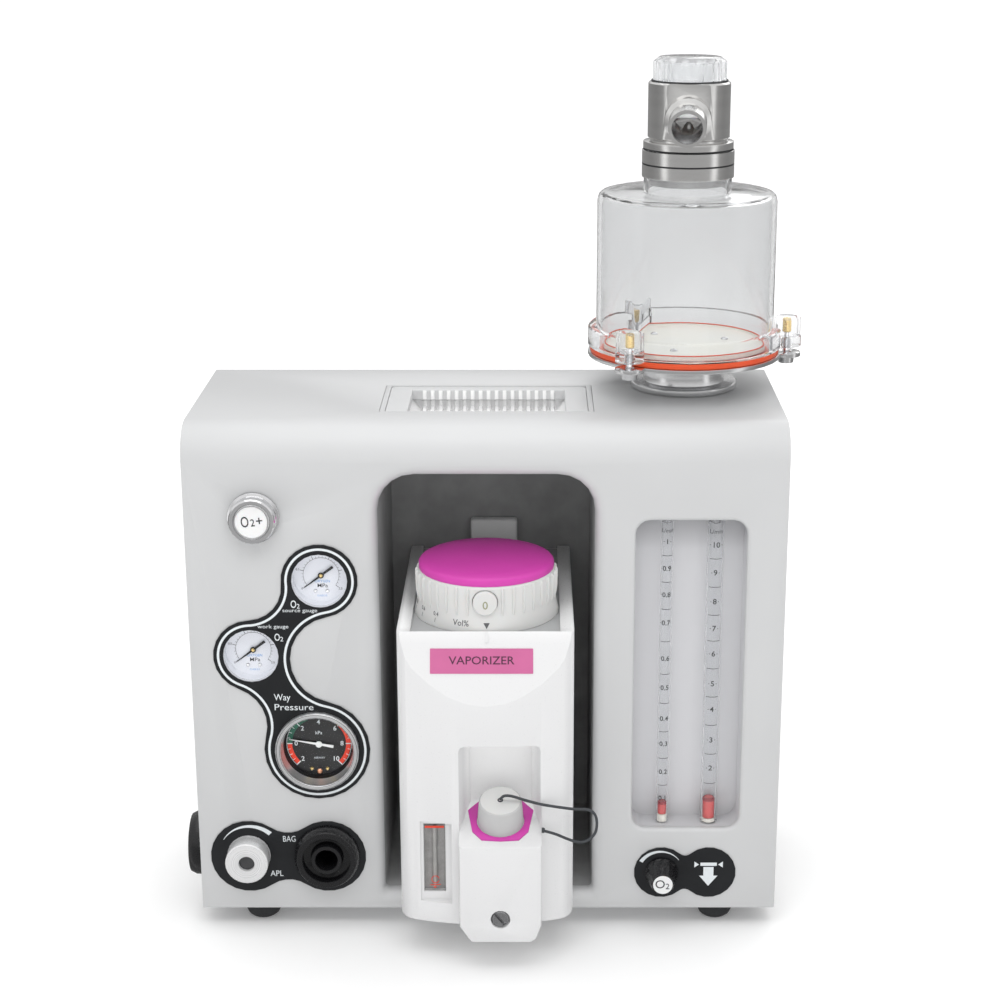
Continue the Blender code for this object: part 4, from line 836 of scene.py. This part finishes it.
def dial_details():
    """Grip ribs, scale and words round the dial, and the zero on its lock button."""
    work = bmesh.new()
    for k in range(RIBS):
        angle = 360 * (k + 0.5) / RIBS
        if min(angle, 360 - angle) < BUTTON_GAP:
            continue
        turn = radians(angle)
        out = Vector((sin(turn), -cos(turn), 0))
        side = Vector((cos(turn), sin(turn), 0))
        rings = []
        for height, proud, half in RIB_RINGS:
            size = dial_radius(height)
            ring = []
            for share, lift in RIB_SECTION:
                point = at(0, DIAL_Y, DECK_Z + height) + out * (size - 0.0003 + (proud + 0.0003) * lift)
                ring.append(work.verts.new(point + side * half * share))
            rings.append(ring)
        for lower, upper in zip(rings, rings[1:]):
            for j in range(len(RIB_SECTION)):
                after = (j + 1) % len(RIB_SECTION)
                work.faces.new((lower[j], lower[after], upper[after], upper[j]))
        work.faces.new(rings[0][::-1])
        work.faces.new(rings[-1])
    piece("dial_grip_ribs", work, "dial_plastic", "dial")
    ink = Print(0.00006)
    ink.word("Vol%", (-0.0172, 0.0066), 0.0042)
    ink.prism([(-0.0012, 0.0076), (0.001, 0.0036), (0.0032, 0.0076)])
    ink.done("dial_words", "dark_grey_print", on_dial_side, "dial")
    ink = Print(0.00006)
    for k, label in enumerate(("0.4", "0.6", "0.8", "1", "1.5", "2", "2.5", "3", "3.5", "4", "4.5", "5")):
        where = -0.0385 - 0.0155 * k
        ink.word(label, (where, 0.0092), 0.003)
        ink.bar((where, 0.0036), (where, 0.0064), 0.00035)
    ink.done("dial_scale", "grey_print", on_dial_side, "dial")
    ink = Print(0.00006)
    ink.word("0", (0.0002, DECK_Z + 0.0206), 0.0058, 1.0, 0.0, 0.00008)
    ink.done("dial_lock_zero", "olive_print", on_front(DIAL_Y - DIAL_SIDE - 0.00264), "dial_lock")


dial_details()


def vaporizer_front():
    """Label, pointer and deck of the vaporizer."""
    tilt = FOREHEAD_TILT
    up = Vector((0, sin(tilt), cos(tilt)))
    out = Vector((0, -cos(tilt), sin(tilt)))
    rise = LABEL_Z - FOREHEAD_FOOT
    centre = at(-0.0024, VAPORIZER_FRONT + rise * tan(tilt), LABEL_Z)

    def on_forehead(u, v, w):
        return centre + Vector((u, 0, 0)) + up * v + out * (w + 0.0001)
    ink = Print(0.0005)
    ink.prism([(-0.035, -0.0086), (0.035, -0.0086), (0.0352, -0.0084), (0.0352, 0.0084),
        (0.035, 0.0086), (-0.035, 0.0086), (-0.0352, 0.0084), (-0.0352, -0.0084)])
    ink.done("vaporizer_label", "pink_label", on_forehead)
    ink = Print(0.00008)
    ink.word("VAPORIZER", (0, 0.0002), 0.0057, 1.1, 0.0, 0.00006)
    ink.done("vaporizer_label_word", "label_ink", lambda u, v, w: on_forehead(u, v, w + 0.00028))
    ink = Print(0.0014)
    ink.prism([(0.0022, 0.0128), (0.0046, 0.0128), (0.0042, 0.0202), (0.0026, 0.0202)])
    ink.done("dial_pointer", "white_enamel", on_forehead)
    half, front, back = 0.0513, -0.0511, 0.1368
    turns = [2 * pi * k / 48 for k in range(48)]
    turns += [atan2(y, x) % (2 * pi) for x in (-half, half) for y in (front, back)]
    inner, outer = [], []
    for turn in sorted(turns):
        across, along = cos(turn), sin(turn)
        end = back if along > 0 else -front
        reach = min(half / max(abs(across), 1e-9), end / max(abs(along), 1e-9))
        inner.append((0.007 * across, DIAL_Y + 0.007 * along))
        outer.append((reach * across, DIAL_Y + reach * along))
    ink = Print(0.00016)
    ink.band(inner, outer, True)
    ink.done("vaporizer_deck", "grey_deck", lambda u, v, w: at(u, v, DECK_Z + 0.0001 + w))


def filler_details():
    """Raised disc and cord eyes of the filler cap, and the lanyard's eye on the block."""
    lean = atan(0.015 / 0.044)
    facing = Matrix.Rotation(lean, 3, "X")
    seat = at(FILLER_X, -0.05, 0.085 + 0.024 * tan(lean))
    top = 0.0205
    # The cap's top disc keeps the lighter dial plastic, while its side below is darkened as painted shade
    spun("filler_cap_disc", raised_disc(0.0138, 0.0004, top), seat, "dial_plastic", "filler", facing, 48)
    spun("filler_cap_eye", ring_section(0.0015, top + 0.0006, 0.0005, 0.0005), seat, "lanyard_rubber",
        "filler", facing, 28, closed=True, slot="black_rubber")
    side = Matrix.Rotation(radians(90), 3, "Y")
    spun("lanyard_eye", [(0, 0.0022), (0.0014, 0.0022), (0.0019, 0.0016), (0.0019, 0.0), (0, 0.0)],
        at(0.0387, -0.061, 0.0922), "lanyard_rubber", "machine", side, 28, slot="black_rubber")


def sight_glass():
    """Grey back, level tube and red marks behind the sight glass."""
    work = bmesh.new()
    block(work, (-0.0436, -0.04725, 0.0406), (-0.029, -0.04705, 0.0923))
    piece("sight_back", work, "sight_grey")
    spun("sight_tube", [(0, 0.043), (0.0016, 0.043), (0.0016, 0.089), (0, 0.089)],
        at(SIGHT_X, -0.0488, 0), "level_grey", steps=20)
    ink = Print(0.00012)
    ink.bar((-0.043, 0.0898), (-0.0296, 0.0898), 0.0017)
    ink.arc((SIGHT_X + 0.0003, 0.0492), 0.0024, 0.0029, 20, 340, 20)
    ink.bar((SIGHT_X - 0.0034, 0.0449), (SIGHT_X + 0.004, 0.0452), 0.0006)
    ink.prism([(SIGHT_X - 0.0012, 0.0437), (SIGHT_X + 0.0012, 0.0437), (SIGHT_X, 0.0422)])
    ink.done("sight_marks", "red_print", on_front(-0.05058))


vaporizer_front()
filler_details()
sight_glass()


# Absorber

def screw_heads(name, places, facing, radius, height):
    """Domed screw heads, each with a round socket in its top."""
    work = bmesh.new()
    floor_height = height * 0.62
    for where in places:
        spin(work, [(0, floor_height), (radius * 0.24, floor_height), (radius * 0.26, height),
            (radius * 0.62, height * 0.86), (radius * 0.92, height * 0.45), (radius, 0.0), (0, 0.0)],
            where, facing, 24)
    piece(name, work, "chrome")


def seal(name, section, look="black_rubber", body="canister_set"):
    """Seal round the canister's axis."""
    spun(name, ring_section(*section), CANISTER, look, body, closed=True)


PLATE_TOP = 0.3984
PLATE_SCREW_CIRCLE = 0.031
NECK_RADIUS = 0.0326
PORT_Z = 0.567


def absorber_details():
    """Inner plate, seals, neck sleeve, a dark sleeve of painted shade in the port, and clamp screws of the
    absorber.
    """
    spun("canister_plate", [(0, PLATE_TOP), (0.056, PLATE_TOP), (0.0572, 0.3996), (0.0582, 0.3996),
        (0.0585, 0.3993), (0.0585, 0.3969), (0.0572, 0.3969), (0.0568, 0.3977), (0, 0.3977)],
        CANISTER, "cream_plate", steps=72)
    seal("canister_plate_seal", (0.0577, 0.4001, 0.0005, 0.0004), "orange_silicone", "machine")
    places = [CANISTER + Vector((*around((0, 0), PLATE_SCREW_CIRCLE, angle), PLATE_TOP))
        for angle in (12, 132, 252)]
    screw_heads("canister_plate_screws", places, UP, 0.0028, 0.0014)
    sleeve = [(0, 0.5196), (0.0005, 0.5196), (0.0006, 0.52), (0.0006, 0.5286), (0.0002, 0.5288),
        (0.0002, 0.5296), (0.0006, 0.5298), (0.0006, 0.5388), (0, 0.539)]
    spun("neck_sleeve", [(NECK_RADIUS + out, height) for out, height in sleeve], CANISTER,
        "valve_metal", "canister_set", steps=96, closed=True)
    seal("neck_seal", (NECK_RADIUS + 0.00035, 0.5292, 0.0003, 0.0004))
    seal("collar_seal", (0.0318, 0.5397, 0.0006, 0.0005))
    # Painted shade: a dark steel sleeve inside the valve head's port, where the bore lies in shade
    facing = Euler((radians(99), 0, radians(-5.5))).to_matrix()
    spun("port_painted_shade", [(0.0106, 0.0512), (0.0109, 0.0512), (0.0109, 0.03), (0.0106, 0.03)],
        CANISTER + Vector((0, 0, PORT_Z)), "steel_painted_shade", "valve_head", facing, 48, closed=True)
    seal("cap_seal", (0.0268, 0.5877, 0.0007, 0.0006), body="valve_head")
    for number, angle in enumerate(CLAMP_ANGLES, 1):
        place = CANISTER + Vector((*around((0, 0), CLAMP_CIRCLE, angle), 0))
        spun(f"clamp_insert_{number}", [(0, 0.4155), (0.0027, 0.4155), (0.0032, 0.415), (0.0032, 0.4074),
            (0.0028, 0.407), (0, 0.407)], place, "brass", f"clamp_{number}", steps=28)
        spun(f"clamp_stud_{number}", [(0, 0.4066), (0.0019, 0.4066), (0.002, 0.406), (0.002, 0.3888),
            (0.0017, 0.3884), (0, 0.3884)], place, "chrome", f"clamp_{number}", steps=24)


absorber_details()


# Handle, back and sides

BACK_Y = 0.175
GRIP_RIBS = 17
GRIP_HALF = 0.056 - 0.006


def handle_ribs():
    """Upright ribs on the grip's front face and on the rear wall of its well."""
    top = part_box("carrying_handle")[1].z - ORIGIN.z
    pitch = 2 * GRIP_HALF / GRIP_RIBS
    for name, body, y_low, y_high, z_low, z_high in (
            ("grip_ribs", "handle", 0.1094, 0.1108, top - 0.0072, top - 0.0006),
            ("well_ribs", "machine", 0.1146, 0.1172, top - 0.0163, top - 0.0088)):
        work = bmesh.new()
        for k in range(GRIP_RIBS):
            middle = -GRIP_HALF + pitch * (k + 0.5)
            block(work, (middle - 0.0014, y_low, z_low), (middle + 0.0014, y_high, z_high))
        bmesh.ops.bevel(work, geom=work.edges[:], offset=0.0004, segments=2, profile=0.5, affect="EDGES")
        # The ribs are silver paint, drawn near white as painted light in the well's shade
        piece(name, work, "pale_paint_and_painted_light", body, "silver_paint")


def case_screws():
    """Screws that hold the back and side panels, and the thread on the oxygen inlet."""
    back = [at(x, BACK_Y, z) for x in (-0.198, -0.066, 0.066, 0.198) for z in (0.012, 0.345)]
    back += [at(x, BACK_Y, z) for x in (-0.198, 0.198) for z in (0.123, 0.234)]
    screw_heads("back_screws", back, BACK, 0.003, 0.0018)
    for side, x in (("left", -0.21), ("right", 0.21)):
        facing = Matrix.Rotation(copysign(radians(90), x), 3, "Y")
        places = [at(x, y, z) for y in (0.03, 0.15) for z in (0.11, 0.325)]
        screw_heads(f"{side}_side_screws", places, facing, 0.003, 0.0018)
    work = bmesh.new()
    for k in range(9):
        foot = 0.0068 + 0.0011 * k
        spin(work, [(0.0073, foot), (0.0078, foot + 0.0005), (0.0073, foot + 0.001)],
            at(0.15, BACK_Y, 0.06), BACK, 40, True)
    piece("oxygen_inlet_thread", work, "brass")


handle_ribs()
case_screws()


# Every CAD node that stays

# The looks given here to the handle tray, vaporizer body and mount carry painted light, and those for the
# flow window, filler cap and drain screw carry painted shade
SPECIAL = {
    "valve_housing": "valve_metal", "absorber_base": "base_metal", "absorber_mount": "base_metal",
    "apl_knob": "knob_metal", "flow_window_box": "window_painted_shade", "vaporizer_mount": "pale_paint_and_painted_light",
    "vaporizer_body": "vaporizer_painted_light", "valve_cap": "clear_cap", "airway_gauge_case": "gauge_metal",
    "handle_tray": "tray_painted_light", "filler_cap": "filler_painted_shade", "drain_screw": "steel_painted_shade",
    "clamp_knob_1": "clear_knob", "clamp_knob_2": "clear_knob", "clamp_knob_3": "clear_knob"}
LENSES = ("source_gauge_lens", "work_gauge_lens", "airway_gauge_lens")
SPECIAL |= dict.fromkeys((*LENSES, "sight_glass"), "lens_glass")
SHADOWLESS = ("canister", "valve_cap", "absorber_base", *LENSES)
for name, shown in NODES.items():
    for slot in shown.material_slots:
        slot.material = LOOKS.get(SPECIAL.get(name, slot.material.name), slot.material)
    polish(shown, 0.0002, SMOOTH_FACET if name == "vaporizer_body" else SMOOTH)
    if name in SHADOWLESS:
        shown.visible_shadow = False
    if name in ("dial_cap", "filler_bezel"):
        shown.visible_diffuse = False


# Studio

def surroundings():
    """White backdrop; the gloss sees two soft strips beside a darker band, and a bright ceiling."""
    world = bpy.data.worlds.new("studio_white")
    bpy.context.scene.world = world
    world.use_nodes = True
    tree = world.node_tree
    ray = shade(tree, "TexCoord").outputs["Generated"]
    level = vector(tree, "MULTIPLY", ray, (1.0, 1.0, 0.0))
    level = vector(tree, "NORMALIZE", level.outputs[0])
    parts = shade(tree, "SeparateXYZ", [(0, level.outputs[0])])
    ramp = shade(tree, "ValToRGB", [("Fac", rescale(tree, parts.outputs["Y"], 1.0, -1.0))])
    stops = ((0.0, 0.3), (0.35, 0.26), (0.6, 0.34), (0.685, 1.1), (0.735, 1.1), (0.8, 0.46), (1.0, 0.44))
    while len(ramp.color_ramp.elements) < len(stops):
        ramp.color_ramp.elements.new(0.5)
    for element, (place, value) in zip(ramp.color_ramp.elements, stops):
        element.position = place
        element.color = (value, value, value, 1)
    height = shade(tree, "SeparateXYZ", [(0, ray)]).outputs["Z"]
    gloss = blend(tree, rescale(tree, height, 0.02, 0.35), ramp.outputs[0], (0.85, 0.85, 0.85, 1))
    sky = rescale(tree, height, -0.35, 0.9, 0.26, 0.95)
    path = shade(tree, "LightPath").outputs
    lit = blend(tree, path["Is Glossy Ray"], sky, gloss)
    seen = shade(tree, "Math", [(0, path["Is Camera Ray"]), (1, path["Is Transmission Ray"])],
        operation="MAXIMUM")
    mixed = blend(tree, seen.outputs[0], lit, (1.0, 1.0, 1.0, 1))
    tree.links.new(mixed, tree.nodes["Background"].inputs["Color"])


def floor():
    """Pale floor that fades to white away from the object."""
    work = bmesh.new()
    spin(work, [(0, 0), (40.0, 0), (40.0, -0.02), (0, -0.02)], Vector((0, 0, 0)), UP, 96)
    made = put("studio_floor", turned_outward("studio_floor", work))
    look = surface("studio_floor_look", (0.93, 0.93, 0.93), 0.6, 2, 60, 0.004, 0.05, 100,
        {"Emission_Color": (1, 1, 1, 1)})
    tree = look.node_tree
    away = vector(tree, "LENGTH", object_place(tree)).outputs["Value"]
    glow = rescale(tree, away, 0.25, 2.0, 0.1, 0.36)
    tree.links.new(glow, tree.nodes["Principled BSDF"].inputs["Emission Strength"])
    made.data.materials.append(look)
    made.visible_glossy = False


def studio():
    """Pale floor, white surroundings and large soft lights."""
    surroundings()
    floor()
    lights = (("key_light", (-1.0, -1.5, 2.0), (1.6, 1.2), 2.4),
        ("fill_light", (0.2, -1.9, 0.5), (1.8, 0.8), 4.2),
        ("front_light", (0.0, -0.85, 1.35), (1.2, 0.4), 3.8),
        ("top_light", (-0.1, 0.0, 2.2), (2.6, 2.0), 12.0),
        ("rear_light", (0.9, 1.7, 1.5), (1.4, 1.0), 5.0))
    for name, where, size, power in lights:
        data = bpy.data.lights.new(name, "AREA")
        data.shape = "RECTANGLE"
        data.size, data.size_y = size
        data.energy = power
        lamp = put(name, data)
        lamp.visible_glossy = name in ("top_light", "rear_light")
        lamp.location = where
        lamp.rotation_euler = (Vector((0, 0, 0.3)) - Vector(where)).to_track_quat("-Z", "Y").to_euler()
    bpy.context.scene.view_settings.view_transform = "Standard"


studio()
